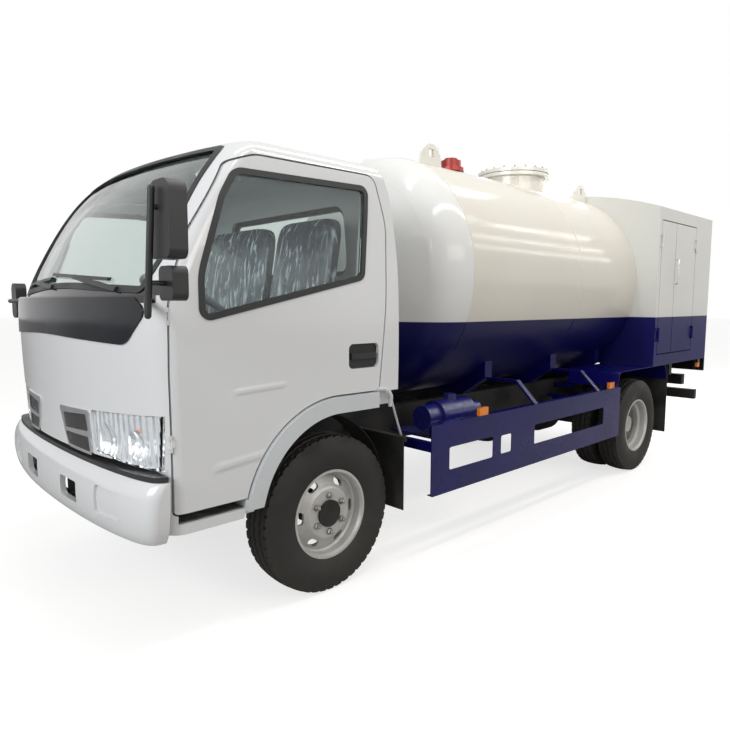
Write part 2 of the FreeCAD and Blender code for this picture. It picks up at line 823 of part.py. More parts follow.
def make_rim(centre_y, disc_y, outward):
    """Steel rim: flanges, seats, well and a dished disc with hand holes."""
    r, lip = rim_seat_radius, rim_flange_radius
    w = rim_width / 2
    well = r - rim_well_depth
    half = [(r - rim_wall, rim_well_outer_y), (r - rim_wall, rim_seat_y - 6), (lip - 12, w + rim_lip),
            (lip, w + rim_lip), (lip, w), (r, rim_seat_y), (r, rim_well_outer_y), (well, rim_well_inner_y)]
    barrel = [(well - rim_wall, rim_well_inner_y)] + half
    section = [(u, centre_y + v, 0) for u, v in barrel] + [(u, centre_y - v, 0) for u, v in reversed(barrel)]
    rim = revolve_y(section)
    s, t = outward, disc_thickness
    edge = r - rim_wall
    disc = ((hub_hole_radius, disc_y, 0), (hub_hole_radius, disc_y + s * t, 0), (disc_flat_radius, disc_y + s * t, 6),
            (disc_flat_radius + 18, disc_y - s * 2, 10), (edge - 22, disc_y - s * (disc_dish - t), 10),
            (edge + 1, disc_y - s * disc_dish, 0), (edge + 1, disc_y - s * (disc_dish + t), 0),
            (edge - 28, disc_y - s * disc_dish, 10), (disc_flat_radius + 12, disc_y - s * 14, 8),
            (disc_flat_radius - 4, disc_y, 6))
    wheel = rim.fuse(revolve_y(disc))
    u, v = hand_hole_length / 2, hand_hole_height / 2
    corners = [(a * u, hand_hole_circle + b * v, 0.45 * hand_hole_height) for a, b in
               ((-1, -1), (1, -1), (1, 1), (-1, 1))]
    for i in range(hand_hole_count):
        hole = prism_xz(corners, disc_y - 60, disc_y + 60)
        hole.rotate(V(0, 0, 0), V(0, 1, 0), 360 * (i + 0.5) / hand_hole_count)
        wheel = wheel.cut(hole)
    return wheel


def make_hub(y0, y1, spindle_radius, spindle_end):
    hub = cylinder((0, y0, 0), (0, 1, 0), hub_hole_radius, y1 - y0)
    bore_length = spindle_end + 5 - y0
    return hub.cut(cylinder((0, y0 - 1, 0), (0, 1, 0), spindle_radius + bearing_clearance, bore_length))


# Running gear
def make_front_axle():
    x, z = front_axle_x, tyre_radius
    half, web = axle_beam_width / 2, 12
    end_y = kingpin_y - axle_boss_radius + 1
    beam = box(x - half, x + half, -end_y, end_y, z - axle_beam_height / 2, z + axle_beam_height / 2)
    for side in (x - half - overcut, x + web):
        beam = beam.cut(box(side, side + half + overcut - web, 80 - kingpin_y, kingpin_y - 80,
                            z - axle_beam_groove / 2, z + axle_beam_groove / 2))
    boss = cylinder((x, kingpin_y, z - axle_boss_half), (0, 0, 1), axle_boss_radius, 2 * axle_boss_half)
    axle = fuse([beam] + pair(boss))
    for hole in pair(cylinder((x, kingpin_y, 0), (0, 0, 1), kingpin_radius + bearing_clearance, 2 * z)):
        axle = axle.cut(hole)
    return axle


def make_knuckle():
    """Fork over the axle boss, kingpin, stub axle and steering arm."""
    x, y, z = front_axle_x, kingpin_y, tyre_radius
    low = -kingpin_half + 1
    pin = cylinder((x, y, z - kingpin_half), (0, 0, 1), kingpin_radius, 2 * kingpin_half)
    jaws = [cylinder((x, y, z + s), (0, 0, 1), knuckle_jaw_radius, knuckle_jaw_height) for s in (knuckle_jaw_z, low)]
    links = [box(x - 30, x + 30, y, y + 60, z + s, z + s + knuckle_jaw_height) for s in (knuckle_jaw_z, low)]
    web = box(x - knuckle_jaw_radius, x + knuckle_jaw_radius, y + 54, y + 74, z + low, z - low)
    stub = cylinder((x, y + 70, z), (0, 1, 0), stub_radius, front_wheel_y + front_disc_offset - y - 70)
    end_x, w = x - steering_arm, steering_arm_half_width
    arm = prism_xy(((x, y - w, 0), (x, y + w, 0), (end_x, y + w, 18), (end_x, y - w, 18)), z + low,
                   z + low + steering_arm_height)
    eye = cylinder((end_x, y, z + low), (0, 0, 1), steering_eye_radius, steering_arm_height)
    pin_end = cylinder((end_x, y, z - tie_rod_drop - 10), (0, 0, 1), tie_pin_radius, tie_rod_drop + low + 12)
    return fuse([pin] + jaws + links + [web, stub, arm, eye, pin_end])


def make_tie_rod():
    x, y, z = front_axle_x - steering_arm, kingpin_y, tyre_radius - tie_rod_drop
    rod = cylinder((x, -y, z), (0, 1, 0), tie_rod_radius, 2 * y)
    eyes = pair(cylinder((x, y, z - tie_eye_height / 2), (0, 0, 1), tie_eye_radius, tie_eye_height))
    whole = fuse([rod] + eyes)
    for bore in pair(cylinder((x, y, z - overcut), (0, 0, 1), tie_pin_radius + bearing_clearance, 2 * overcut)):
        whole = whole.cut(bore)
    return whole


def make_rear_axle():
    x, z = rear_axle_x, tyre_radius
    tube = cylinder((x, -rear_tube_half, z), (0, 1, 0), rear_tube_radius, 2 * rear_tube_half)
    spindle = cylinder((x, -rear_spindle_half, z), (0, 1, 0), rear_spindle_radius, 2 * rear_spindle_half)
    banjo = cylinder((x - banjo_length / 2, 0, z), (1, 0, 0), banjo_radius, banjo_length)
    nose = cylinder((x, 0, z), (1, 0, 0), pinion_radius, pinion_end)
    return fuse([tube, spindle, banjo, nose])


def spring_seats():
    """Axle x, middle y and seat height of the front and rear packs."""
    return ((front_axle_x, front_spring_y, tyre_radius + axle_beam_height / 2 + seat_gap),
            (rear_axle_x, rear_spring_y, tyre_radius + rear_tube_radius + seat_gap))


def spring_eye_z(seat_z):
    return seat_z + (spring_leaves - 0.5) * spring_leaf + spring_rise


def make_leaf(axle_x, y, z, reach):
    """One bowed leaf, an arc thickened upward."""
    rise = spring_rise * (reach / spring_half_length) ** 2
    thick = spring_leaf + 1
    stops = [[V(axle_x - reach, 0, z + rise + t), V(axle_x, 0, z + t), V(axle_x + reach, 0, z + rise + t)]
             for t in (0, thick)]
    edges = [Part.Arc(*line).toShape() for line in stops]
    edges += [Part.LineSegment(stops[0][end], stops[1][end]).toShape() for end in (0, 2)]
    leaf = Part.Face(Part.Wire(Part.__sortEdges__(edges))).extrude(V(0, spring_width, 0))
    leaf.translate(V(0, y - spring_width / 2, 0))
    return leaf


def make_springs():
    """Leaf packs on the axles, each leaf shorter than the one above, with an eye at each end."""
    packs = []
    for axle_x, y, seat_z in spring_seats():
        pack = []
        for i in range(spring_leaves):
            share = shortest_leaf + (1 - shortest_leaf) * i / (spring_leaves - 1)
            pack.append(make_leaf(axle_x, y, seat_z + i * spring_leaf, spring_half_length * share))
        holes = []
        for s in (-1, 1):
            at = (axle_x + s * spring_half_length, y - spring_width / 2, spring_eye_z(seat_z))
            pack.append(cylinder(at, (0, 1, 0), spring_eye_radius, spring_width))
            holes.append(cylinder(at, (0, 1, 0), spring_pin_radius + bearing_clearance, spring_width))
        whole = fuse(pack)
        for hole in holes:
            whole = whole.cut(hole)
        packs += pair(whole)
    return packs


def make_hangers():
    """Cheeks riveted to the rails, which hold the spring eyes on their pins."""
    shapes = []
    rail_bottom = rail_top_z - rail_height
    for axle_x, y, seat_z in spring_seats():
        inner, outer = y - spring_width / 2 - seat_gap, y + spring_width / 2 + seat_gap
        eye_z = spring_eye_z(seat_z)
        for x in (axle_x - spring_half_length, axle_x + spring_half_length):
            x0, x1 = x - hanger_half_length, x + hanger_half_length
            inner_top = hanger_top_z if inner - hanger_cheek > rail_outer_y else rail_bottom - seat_gap
            pieces = [box(x0, x1, outer, outer + hanger_cheek, eye_z - hanger_drop, hanger_top_z),
                      box(x0, x1, inner - hanger_cheek, inner, eye_z - hanger_drop, inner_top),
                      box(x0, x1, rail_outer_y + seat_gap, outer + 1, hanger_top_z - 34, hanger_top_z),
                      cylinder((x, inner - 1, eye_z), (0, 1, 0), spring_pin_radius, outer + 2 - inner)]
            shapes.append(fuse(pieces))
    return shapes


# Ladder frame
def make_frame():
    """Channel rails and what is riveted to them: cross members, bumper arms, tilt towers and hangers."""
    rail_bottom = rail_top_z - rail_height
    inner_y = rail_outer_y - rail_flange
    web = box(rail_rear_x, rail_front_x, rail_outer_y - rail_wall, rail_outer_y, rail_bottom, rail_top_z)
    top = box(rail_rear_x, rail_front_x, inner_y, rail_outer_y, rail_top_z - rail_wall, rail_top_z)
    bottom = box(rail_rear_x, rail_front_x, inner_y, rail_outer_y, rail_bottom, rail_bottom + rail_wall)
    arm = box(rail_front_x + seat_gap, 3200, inner_y, rail_outer_y, *bumper_arm_z)
    arm = arm.common(bumper_form(bumper_wall + seat_gap, bumper_rear_x - overcut))
    shapes = [turned for piece in [fuse([web, top, bottom]), arm, make_tilt_tower()] + make_hangers()
              for turned in pair(piece)]
    middle_z = rail_top_z - rail_height / 2
    reach = rail_outer_y - rail_wall - seat_gap
    for x in cross_member_xs:
        shapes.append(box(x - cross_member_length / 2, x + cross_member_length / 2, -reach, reach,
                          middle_z - cross_member_depth / 2, middle_z + cross_member_depth / 2))
    return shapes


def make_tilt_tower():
    x, z = tilt_axis_x, tilt_axis_z
    low = rail_top_z + seat_gap
    plate = prism_xz(((x - 6, z + tilt_eye_radius + 1, 0), (x - 130, z - 55, 20), (x - 130, low, 0), (x - 62, low, 0),
                      (x + 8, z - tilt_eye_radius - 1, 0)), tilt_arm_y, tilt_arm_y + tilt_tower_width)
    eye = cylinder((x, tilt_arm_y, z), (0, 1, 0), tilt_eye_radius, tilt_tower_width)
    bore = cylinder((x, 0, z), (0, 1, 0), tilt_pin_radius + bearing_clearance, 1000)
    return plate.fuse(eye).cut(bore)


def bumper_form(inward, back_x):
    """The bumper's outer form, drawn in by its wall."""
    middle = (bumper_sections[0][0] + bumper_sections[-1][0]) / 2
    wires = [nose_outline(bumper_plan, z + (inward if z < middle else -inward), x - inward, w - inward, back_x)
             for z, x, w in bumper_sections]
    return Part.makeLoft(wires, True)


def make_bumper():
    bumper = bumper_form(0, bumper_rear_x).cut(bumper_form(bumper_wall, bumper_rear_x - overcut))
    bumper = bumper.cut(box(bumper_rear_x - overcut, rail_front_x + 10, -700, 700, 0, 1000))
    recess = bumper_form(-5, bumper_rear_x).cut(bumper_form(fog_recess_depth, bumper_rear_x - overcut))
    for cut in pair(front_cut(tow_hole_view, 0)) + pair(recess.common(front_cut(fog_recess_view, 0))):
        bumper = bumper.cut(cut)
    return bumper


def make_bumper_strip():
    """The dark strip that lies on the bumper's top, under the lamps."""
    low = bumper_sections[-1][0] + seat_gap
    outer = [nose_outline(bumper_plan, z, strip_nose_x, strip_half_width, bumper_rear_x)
             for z in (low, low + strip_height)]
    back_x = bumper_rear_x - strip_width - overcut
    inner = [nose_outline(bumper_plan, z, strip_nose_x - strip_width, strip_half_width - strip_width, back_x)
             for z in (low - 1, low + strip_height + 1)]
    return Part.makeLoft(outer, True, True).cut(Part.makeLoft(inner, True, True))


# Engine and driveline
def make_engine():
    """One plain block with the four feet that rest on the rails' lower flanges."""
    half = engine_width / 2
    rear_x = engine_front_x - engine_length
    block = box(rear_x, engine_front_x, -half, half, engine_bottom_z, engine_bottom_z + engine_height)
    low = rail_top_z - rail_height + rail_wall + seat_gap
    feet = []
    for x in (rear_x + engine_foot_inset, engine_front_x - engine_foot_inset):
        feet += pair(box(x - engine_foot_half, x + engine_foot_half, half - 1, engine_foot_end_y, low,
                         low + engine_foot_height))
    return fuse([block] + feet)


def make_propshaft():
    start = engine_front_x - engine_length - seat_gap
    end = rear_axle_x + pinion_end + seat_gap
    gearbox = cylinder((start, 0, tyre_radius + gearbox_rise), (-1, 0, 0), gearbox_radius, gearbox_length)
    line = V(end - start, 0, -gearbox_rise)
    shaft = Part.makeCylinder(propshaft_radius, line.Length, V(start, 0, tyre_radius + gearbox_rise), line)
    shaft = shaft.common(box(end, start - gearbox_length - seat_gap, -200, 200, 0, 1000))
    return [gearbox, shaft]


# Tank and its fittings
def make_tank(grow=0):
    """Cylinder with a dished head at each end: a knuckle arc, then a crown arc."""
    r, z = tank_radius + grow, tank_axis_z
    knuckle = tank_knuckle_share * r
    crown = tank_crown_share * r
    reach = math.sqrt((crown - knuckle) ** 2 - (r - knuckle) ** 2)
    depth = crown - reach
    spread = math.atan2(r - knuckle, reach)
    edges = []
    for end_x, way in ((tank_front_x, 1), (tank_rear_x, -1)):
        def at(radius, angle, x0, r0):
            return V(end_x + way * (x0 + radius * math.cos(angle)), 0, z + r0 + radius * math.sin(angle))
        turns = (math.pi / 2, (math.pi / 2 + spread) / 2, spread)
        knuckle_at = [at(knuckle, angle, 0, r - knuckle) for angle in turns]
        crown_at = [at(crown, angle, -reach, 0) for angle in (spread, spread / 2, 0)]
        edges += [Part.Arc(*knuckle_at).toShape(), Part.Arc(*crown_at).toShape()]
    edges.append(Part.LineSegment(V(tank_front_x, 0, z + r), V(tank_rear_x, 0, z + r)).toShape())
    edges.append(Part.LineSegment(V(tank_front_x + depth, 0, z), V(tank_rear_x - depth, 0, z)).toShape())
    face = Part.Face(Part.Wire(Part.__sortEdges__(edges)))
    return face.revolve(V(0, 0, z), V(1, 0, 0), 360)


def tank_bed():
    """A cylinder a seat gap larger than the tank, which its fittings are cut to."""
    return cylinder((rear_end_x, 0, tank_axis_z), (1, 0, 0), tank_radius + seat_gap, -2 * rear_end_x)


def make_saddles():
    """Cradles between the rails and the tank."""
    half, low = saddle_half_width, rail_top_z + seat_gap
    right = [(half, saddle_foot_z, 0), (half, saddle_top_z, 0)]
    profile = [(-rail_outer_y, low, 0), (rail_outer_y, low, 0)] + right
    profile += [(-y, z, r) for y, z, r in reversed(right)]
    return [largest(prism_yz(profile, x - saddle_half, x + saddle_half).cut(tank_bed())) for x in saddle_xs]


def make_manhole():
    flange_z, gasket_z = manhole_flange_z, manhole_flange_z + manhole_flange_height
    cover_z = gasket_z + manhole_gasket_height
    body = fuse([cylinder((manhole_x, 0, tank_axis_z + 0.9 * tank_radius), (0, 0, 1), manhole_neck_radius,
                          flange_z + 5 - tank_axis_z - 0.9 * tank_radius),
                 cylinder((manhole_x, 0, flange_z), (0, 0, 1), manhole_flange_radius, manhole_flange_height),
                 cylinder((manhole_x, 0, gasket_z - 1), (0, 0, 1), manhole_gasket_radius, manhole_gasket_height + 2),
                 cylinder((manhole_x, 0, cover_z), (0, 0, 1), manhole_flange_radius, manhole_flange_height)])
    return body.cut(tank_bed())


def make_lugs():
    """Lifting lugs welded in pairs on the tank's shoulders, and the vent post."""
    pieces = []
    for x in lug_xs:
        plate = prism_xz([(x + u, z, r) for u, z, r in lug_view], lug_y - lug_thickness / 2, lug_y + lug_thickness / 2)
        pieces += pair(plate.cut(box(x - lug_hole_half, x + lug_hole_half, 0, 2 * lug_y, *lug_hole_z)))
    foot_z = tank_axis_z + tank_radius - 10
    pieces.append(cylinder((post_x, 0, foot_z), (0, 0, 1), post_radius, post_top_z - foot_z))
    return [solid for piece in pieces for solid in piece.cut(tank_bed()).Solids]


def make_relief_valve():
    steps = [cylinder((valve_x, 0, low), (0, 0, 1), radius, high - low) for radius, low, high in valve_steps]
    return fuse(steps).cut(tank_bed())


# Side guards and what they cover
def make_side_guard():
    """Sheet panel with cut-outs, turned in along its edges, with its arms and the stays from the saddles."""
    y0, y1 = guard_y - guard_sheet, guard_y
    low, high, back = guard_bottom_z, guard_top_z, guard_y - guard_return
    c = guard_corner
    panel = prism_xz(((guard_front_x, low, c), (guard_front_x, high, c), (guard_rear_x, high, c),
                      (guard_rear_x, low, c)), y0, y1)
    for x0, x1, z0, z1 in guard_windows:
        panel = panel.cut(prism_xz(((x0, z0, c), (x1, z0, c), (x1, z1, c), (x0, z1, c)), back, y1 + 1))
    shapes = [panel, box(guard_rear_x + c, guard_front_x - c, back, y1, high - guard_sheet, high),
              box(guard_rear_x + c, guard_front_x - c, back, y1, low, low + guard_sheet)]
    for x in guard_arm_xs:
        shapes.append(box(x - guard_arm_half, x + guard_arm_half, rail_outer_y + seat_gap, y0 + 1, *guard_arm_z))
        shapes.append(box(x - guard_arm_half, x + guard_arm_half, back, y0 + 1, low, high))
    for x in stay_xs:
        shapes.append(make_stay(x))
    return fuse(shapes)


def make_stay(x):
    """Bar out from a saddle, bent down to the guard's top edge."""
    start, bend, end = saddle_half_width + seat_gap, stay_bend_y, guard_y - 2
    high, deep = stay_top_z, stay_depth
    profile = ((start, high - deep, 0), (start, high, 0), (bend, high, 6), (end, guard_top_z + 4, 0),
               (end, guard_top_z - 12, 0), (bend - 6, high - deep, 6))
    return prism_yz(profile, x - stay_half, x + stay_half)


def make_pump():
    x, y, z = pump_x, pump_y, pump_z
    half = pump_length / 2
    base_top = pump_base_z + pump_base_height
    return fuse([cylinder((x - half, y, z), (1, 0, 0), pump_radius, pump_length),
                 cylinder((x + half - 1, y, z), (1, 0, 0), pump_end_radius, pump_end_length + 1),
                 cylinder((x - half + 1, y, z), (-1, 0, 0), pump_end_radius - 20, pump_end_length),
                 cylinder((x, y, z), (0, 0, 1), pump_end_radius / 2, pump_radius + 30),
                 box(x - half - 20, x + half + 20, rail_outer_y + seat_gap, y + pump_base_half_width, pump_base_z,
                     base_top),
                 box(x - half + 20, x + half - 20, y - 50, y + 50, base_top - 1, z)])


def make_markers():
    lamps = []
    front_y = guard_y - 4
    for x in marker_xs:
        lamps += pair(box(x - marker_half, x + marker_half, front_y - marker_depth, front_y, guard_top_z + seat_gap,
                          guard_top_z + marker_height))
    outer_y = cabinet_half_width - side_lamp_inset
    lamps += pair(box(*side_lamp_x, outer_y - side_lamp_depth, outer_y, side_lamp_z, cabinet_bottom_z - seat_gap))
    return lamps


def make_fuel_tank():
    body = prism_yz(fuel_tank_view, *fuel_tank_x)
    near = fuel_tank_view[1][0]
    straps = [box(x - fuel_strap_half, x + fuel_strap_half, near - 1, -rail_outer_y - seat_gap, 600, 740)
              for x in fuel_strap_xs]
    return fuse([body] + straps)


# Fenders and mudguards
def make_rear_fenders():
    """Sheet covers over the rear wheels, flat on top with sloped ends."""
    y0, y1 = fender_y
    t = fender_sheet

    def form(inward):
        (x0, z0), (x1, x2), (x3, z3) = fender_side_view
        top = cabinet_bottom_z - seat_gap
        low = 10 * inward
        front = x0 + low * (x0 - x1) / (top - z0) - inward
        rear = x3 - low * (x2 - x3) / (top - z3) + inward
        return ((front, z0 - low, 0), (x1 - inward, top - inward, 40), (x2 + inward, top - inward, 40),
                (rear, z3 - low, 0))
    shell = prism_xz(form(0), y0, y1).cut(prism_xz(form(t), y0 - 5, y1 + 5))
    shapes = [shell]
    for x in fender_bracket_xs:
        x0, x1 = x - fender_bracket_half, x + fender_bracket_half
        shapes.append(box(x0, x1, rail_outer_y + seat_gap, y0 + 5, *fender_bracket_z))
        shapes.append(box(x0, x1, y0, y0 + 5, fender_bracket_z[0], cabinet_bottom_z - t / 2))
    return pair(fuse(shapes))


def make_liner():
    """Curved sheet over the front tyre, held on brackets from the rail."""
    low, high = (math.radians(a) for a in liner_angles)

    def arc(radius):
        at = [V(front_axle_x + radius * math.cos(a), 0, tyre_radius + radius * math.sin(a))
              for a in (low, (low + high) / 2, high)]
        return at, Part.Arc(*at).toShape()
    inner, inner_edge = arc(liner_radius)
    outer, outer_edge = arc(liner_radius + liner_sheet)
    ends = [Part.LineSegment(inner[i], outer[i]).toShape() for i in (0, 2)]
    face = Part.Face(Part.Wire(Part.__sortEdges__([inner_edge, outer_edge] + ends)))
    sheet = face.extrude(V(0, liner_y[1] - liner_y[0], 0))
    sheet.translate(V(0, liner_y[0], 0))
    shapes = [sheet]
    for x in liner_bracket_xs:
        rise = math.sqrt((liner_radius + 2) ** 2 - (x - front_axle_x) ** 2)
        z = tyre_radius + rise
        x0, x1 = x - liner_bracket_half, x + liner_bracket_half
        shapes.append(box(x0, x1, rail_outer_y + seat_gap, rail_outer_y + 8, rail_top_z - 60, z))
        shapes.append(box(x0, x1, rail_outer_y + seat_gap, liner_y[0] + 20, z - 14, z))
    return fuse(shapes)


def make_mudguards():
    """Flaps behind the front and rear wheels, with the liners over the front tyres."""
    x, t = front_flap_x, flap_thickness
    flaps = pair(fuse([box(x - t, x, *front_flap_y, *front_flap_z),
                       box(x - t - 34, x - t + 1, rail_outer_y + seat_gap, front_flap_y[1] - 10,
                           front_flap_z[1] - 30, front_flap_z[1])]))
    flaps += pair(box(rear_flap_x - t, rear_flap_x, *rear_flap_y, rear_flap_bottom_z, cabinet_bottom_z - seat_gap))
    return flaps + pair(make_liner())


# Cabinet
def cabinet_profile(inward, low):
    half = cabinet_half_width - inward
    rise = cabinet_crown_z - cabinet_eaves_z
    eaves = cabinet_eaves_z - inward
    edges = [Part.LineSegment(V(0, -half, low), V(0, half, low)).toShape(),
             Part.LineSegment(V(0, half, low), V(0, half, eaves)).toShape(),
             Part.Arc(V(0, half, eaves), V(0, 0, eaves + rise), V(0, -half, eaves)).toShape(),
             Part.LineSegment(V(0, -half, eaves), V(0, -half, low)).toShape()]
    return Part.Face(Part.Wire(edges))


def make_cabinet():
    """Hollow body fitted round the tank's rear head, with its rear valance, bearers and hinge halves."""
    wall = cabinet_wall
    outer = cabinet_profile(0, cabinet_bottom_z).extrude(V(cabinet_rear_x - tank_rear_x, 0, 0))
    outer.translate(V(tank_rear_x, 0, 0))
    length = cabinet_rear_x - tank_rear_x + 2 * wall
    inner = cabinet_profile(wall, cabinet_bottom_z + wall).extrude(V(length, 0, 0))
    inner.translate(V(tank_rear_x - wall, 0, 0))
    shell = outer.cut(inner).cut(make_tank(seat_gap))
    ends = [x for door in cabinet_doors for x in door]
    opening = box(min(ends) - move_gap, max(ends) + move_gap, cabinet_half_width - wall - 1, 1100,
                  cabinet_door_bottom - move_gap, cabinet_door_top + move_gap)
    for cut in pair(opening):
        shell = shell.cut(cut)
    floor = cabinet_bottom_z + 1
    inner_y = rail_outer_y - rail_flange
    rest_z = rail_top_z + seat_gap
    shapes = [shell, box(cabinet_rear_x, cabinet_rear_x + cabinet_valance_depth, -cabinet_half_width,
                         cabinet_half_width, cabinet_valance_z, floor)]
    for x in cabinet_bearer_xs:
        shapes += pair(box(x - cabinet_bearer_half, x + cabinet_bearer_half, inner_y,
                           cabinet_half_width - cabinet_bearer_inset, rest_z, floor))
    shapes += pair(box(cabinet_rear_x + cabinet_bearer_inset, cabinet_bearer_front_x, inner_y, rail_outer_y, rest_z,
                       floor))
    for door in cabinet_doors:
        for piece in make_cabinet_hinge(*door):
            shapes += pair(piece)
    return fuse(shapes)


def make_cabinet_door(pin_x, free_x):
    """One leaf with the middle knuckles of its outside hinges."""
    side = -1 if free_x < pin_x else 1
    half = barrel_half - barrel_gap
    leaf = box(min(pin_x, free_x), max(pin_x, free_x), cabinet_half_width - cabinet_wall, cabinet_half_width,
               cabinet_door_bottom, cabinet_door_top)
    for z in barrel_zs:
        barrel = cylinder((pin_x, barrel_y, z - half), (0, 0, 1), barrel_radius, 2 * half)
        ends = sorted((pin_x, pin_x + side * barrel_strap))
        strap = box(*ends, cabinet_half_width - 1, cabinet_half_width + barrel_strap_proud, z - half, z + half)
        bore = cylinder((pin_x, barrel_y, z - overcut), (0, 0, 1), barrel_pin_radius + bearing_clearance, 2 * overcut)
        leaf = leaf.fuse(strap).fuse(barrel).cut(bore)
    return leaf


def make_cabinet_hinge(pin_x, free_x):
    """The pin and outer knuckles on the cabinet's side."""
    side = 1 if free_x < pin_x else -1
    reach = barrel_half + barrel_end_length
    shapes = []
    for z in barrel_zs:
        shapes.append(cylinder((pin_x, barrel_y, z - reach), (0, 0, 1), barrel_pin_radius, 2 * reach))
        for low in (z - reach, z + barrel_half):
            ends = sorted((pin_x, pin_x + side * barrel_strap))
            high = low + barrel_end_length
            shapes.append(cylinder((pin_x, barrel_y, low), (0, 0, 1), barrel_radius, barrel_end_length))
            shapes.append(box(*ends, cabinet_half_width - 1, cabinet_half_width + barrel_strap_proud, low, high))
    return shapes


def make_rear_bars():
    """The lamp bar on the rail ends and the underrun bar on its hangers."""
    lamp_bar = box(*lamp_bar_x, -lamp_bar_half_width, lamp_bar_half_width, *lamp_bar_z)
    hangers = pair(box(lamp_bar_x[1] - 1, rail_rear_x - seat_gap, *lamp_hanger_y, lamp_bar_z[0] + 5,
                       lamp_bar_z[1] - 5))
    front_x = rear_end_x + underrun_depth
    underrun = box(rear_end_x, front_x, -underrun_half_width, underrun_half_width, *underrun_z)
    hanger_y = rail_outer_y + seat_gap
    outer_y = hanger_y + underrun_hanger_width
    drop = fuse([box(front_x - 1, underrun_hanger_x, hanger_y, outer_y, underrun_z[0] + 9, underrun_z[1] - 10),
                 box(rail_rear_x, underrun_hanger_x, hanger_y, outer_y, underrun_z[0] + 9, rail_top_z - 25)])
    return fuse([lamp_bar] + hangers), fuse([underrun] + pair(drop))


def main():
    os.makedirs("parts", exist_ok=True)
    body, door = make_cab()
    surround_cut = skin(-overcut, grille_depth)
    for cut in pair(surround_cut.common(front_cut(grille_surround_view, 0, 2500))):
        body = body.cut(cut)
    for cut in pair(skin(-overcut, headlamp_depth + 1).common(lamp_pocket(0))):
        body = body.cut(cut)
    pillar_hinges, leaf_hinges = make_door_hinges()
    hinges = [turned for piece in pillar_hinges for turned in pair(piece)]
    save("cab_shell", fuse([largest(body)] + pair(make_tilt_lugs()) + hinges))
    door = door.cut(side_cut(door_window, 0)).cut(skin(-overcut, handle_depth).common(side_cut(handle_view, 0)))
    door = fuse([door] + leaf_hinges)
    seal, glass = make_seal_and_glass(lambda inward: side_cut(door_window, inward))
    sides = (("left", lambda shape: shape), ("right", mirrored))
    handle = make_handle()
    for side, turn in sides:
        save(f"door_{side}", turn(largest(door)))
        save(f"door_seal_{side}", [turn(seal), turn(handle)])
        save(f"door_glass_{side}", turn(glass))
    seal, glass = make_seal_and_glass(lambda inward: front_cut(windscreen_view, inward))
    for cut in pair(side_cut(door_line, -move_gap)):
        seal = largest(seal.cut(cut))
    save("windscreen", glass)
    rear_seal, rear_glass = make_seal_and_glass(lambda inward: rear_cut(rear_window_view, inward))
    save("window_seals", [seal, rear_seal])
    save("rear_window", rear_glass)
    save("front_panel", make_front_panel())
    meshes, surrounds = make_grille()
    save("grille", meshes)
    save("grille_surrounds", surrounds)
    save("headlamps", make_headlamps())
    save("wipers", make_wipers())
    save("mirrors", make_mirrors())
    save("arch_flares", pair(make_flare()))
    save("steps", make_steps())
    save("seats", make_seats())
    save("dashboard", make_dashboard())
    save("steering_wheel", make_steering_wheel())

    save("frame", make_frame())
    save("engine", make_engine())
    save("propshaft", make_propshaft())
    save("front_axle", make_front_axle())
    save("rear_axle", make_rear_axle())
    save("springs", make_springs())
    save("tie_rod", make_tie_rod())
    save("bumper", make_bumper())
    save("bumper_strip", make_bumper_strip())
    save("tank", make_tank())
    save("tank_saddles", make_saddles())
    save("manhole", make_manhole())
    save("tank_lugs", make_lugs())
    save("relief_valve", make_relief_valve())
    save("side_guards", pair(make_side_guard()))
    save("pump", make_pump())
    save("marker_lamps", make_markers())
    save("fuel_tank", make_fuel_tank())
    save("rear_fenders", make_rear_fenders())
    save("mudguards", make_mudguards())
    save("cabinet", make_cabinet())
    lamp_bar, underrun = make_rear_bars()
    save("lamp_bar", lamp_bar)
    save("underrun_bar", underrun)

    disc_y = front_wheel_y + front_disc_offset
    mate_y = (rear_outer_y + rear_inner_y) / 2
    front_tyre = placed(make_tyre(front_wheel_y), front_axle_x, tyre_radius)
    front_rim = placed(make_rim(front_wheel_y, disc_y, 1), front_axle_x, tyre_radius)
    front_hub = placed(make_hub(front_wheel_y - front_hub_in, front_wheel_y + front_hub_out, stub_radius, disc_y),
                       front_axle_x, tyre_radius)
    rear_tyres = [placed(make_tyre(y), rear_axle_x, tyre_radius) for y in (rear_outer_y, rear_inner_y)]
    rear_rims = [placed(make_rim(rear_outer_y, mate_y, 1), rear_axle_x, tyre_radius),
                 placed(make_rim(rear_inner_y, mate_y - seat_gap, -1), rear_axle_x, tyre_radius),
                 placed(make_hub(rear_hub_inner_y, rear_hub_outer_y, rear_spindle_radius, rear_spindle_half),
                        rear_axle_x, tyre_radius)]
    for side, turn in sides:
        save(f"knuckle_{side}", turn(make_knuckle()))
        save(f"tyre_front_{side}", turn(front_tyre))
        save(f"rim_front_{side}", turn(front_rim))
        save(f"hub_front_{side}", turn(front_hub))
        save(f"tyres_rear_{side}", [turn(tyre) for tyre in rear_tyres])
        save(f"rims_rear_{side}", [turn(rim) for rim in rear_rims])
        for place, (pin_x, free_x) in zip(("front", "rear"), cabinet_doors):
            save(f"cabinet_door_{side}_{place}", turn(make_cabinet_door(pin_x, free_x)))


main()
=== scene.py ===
import math

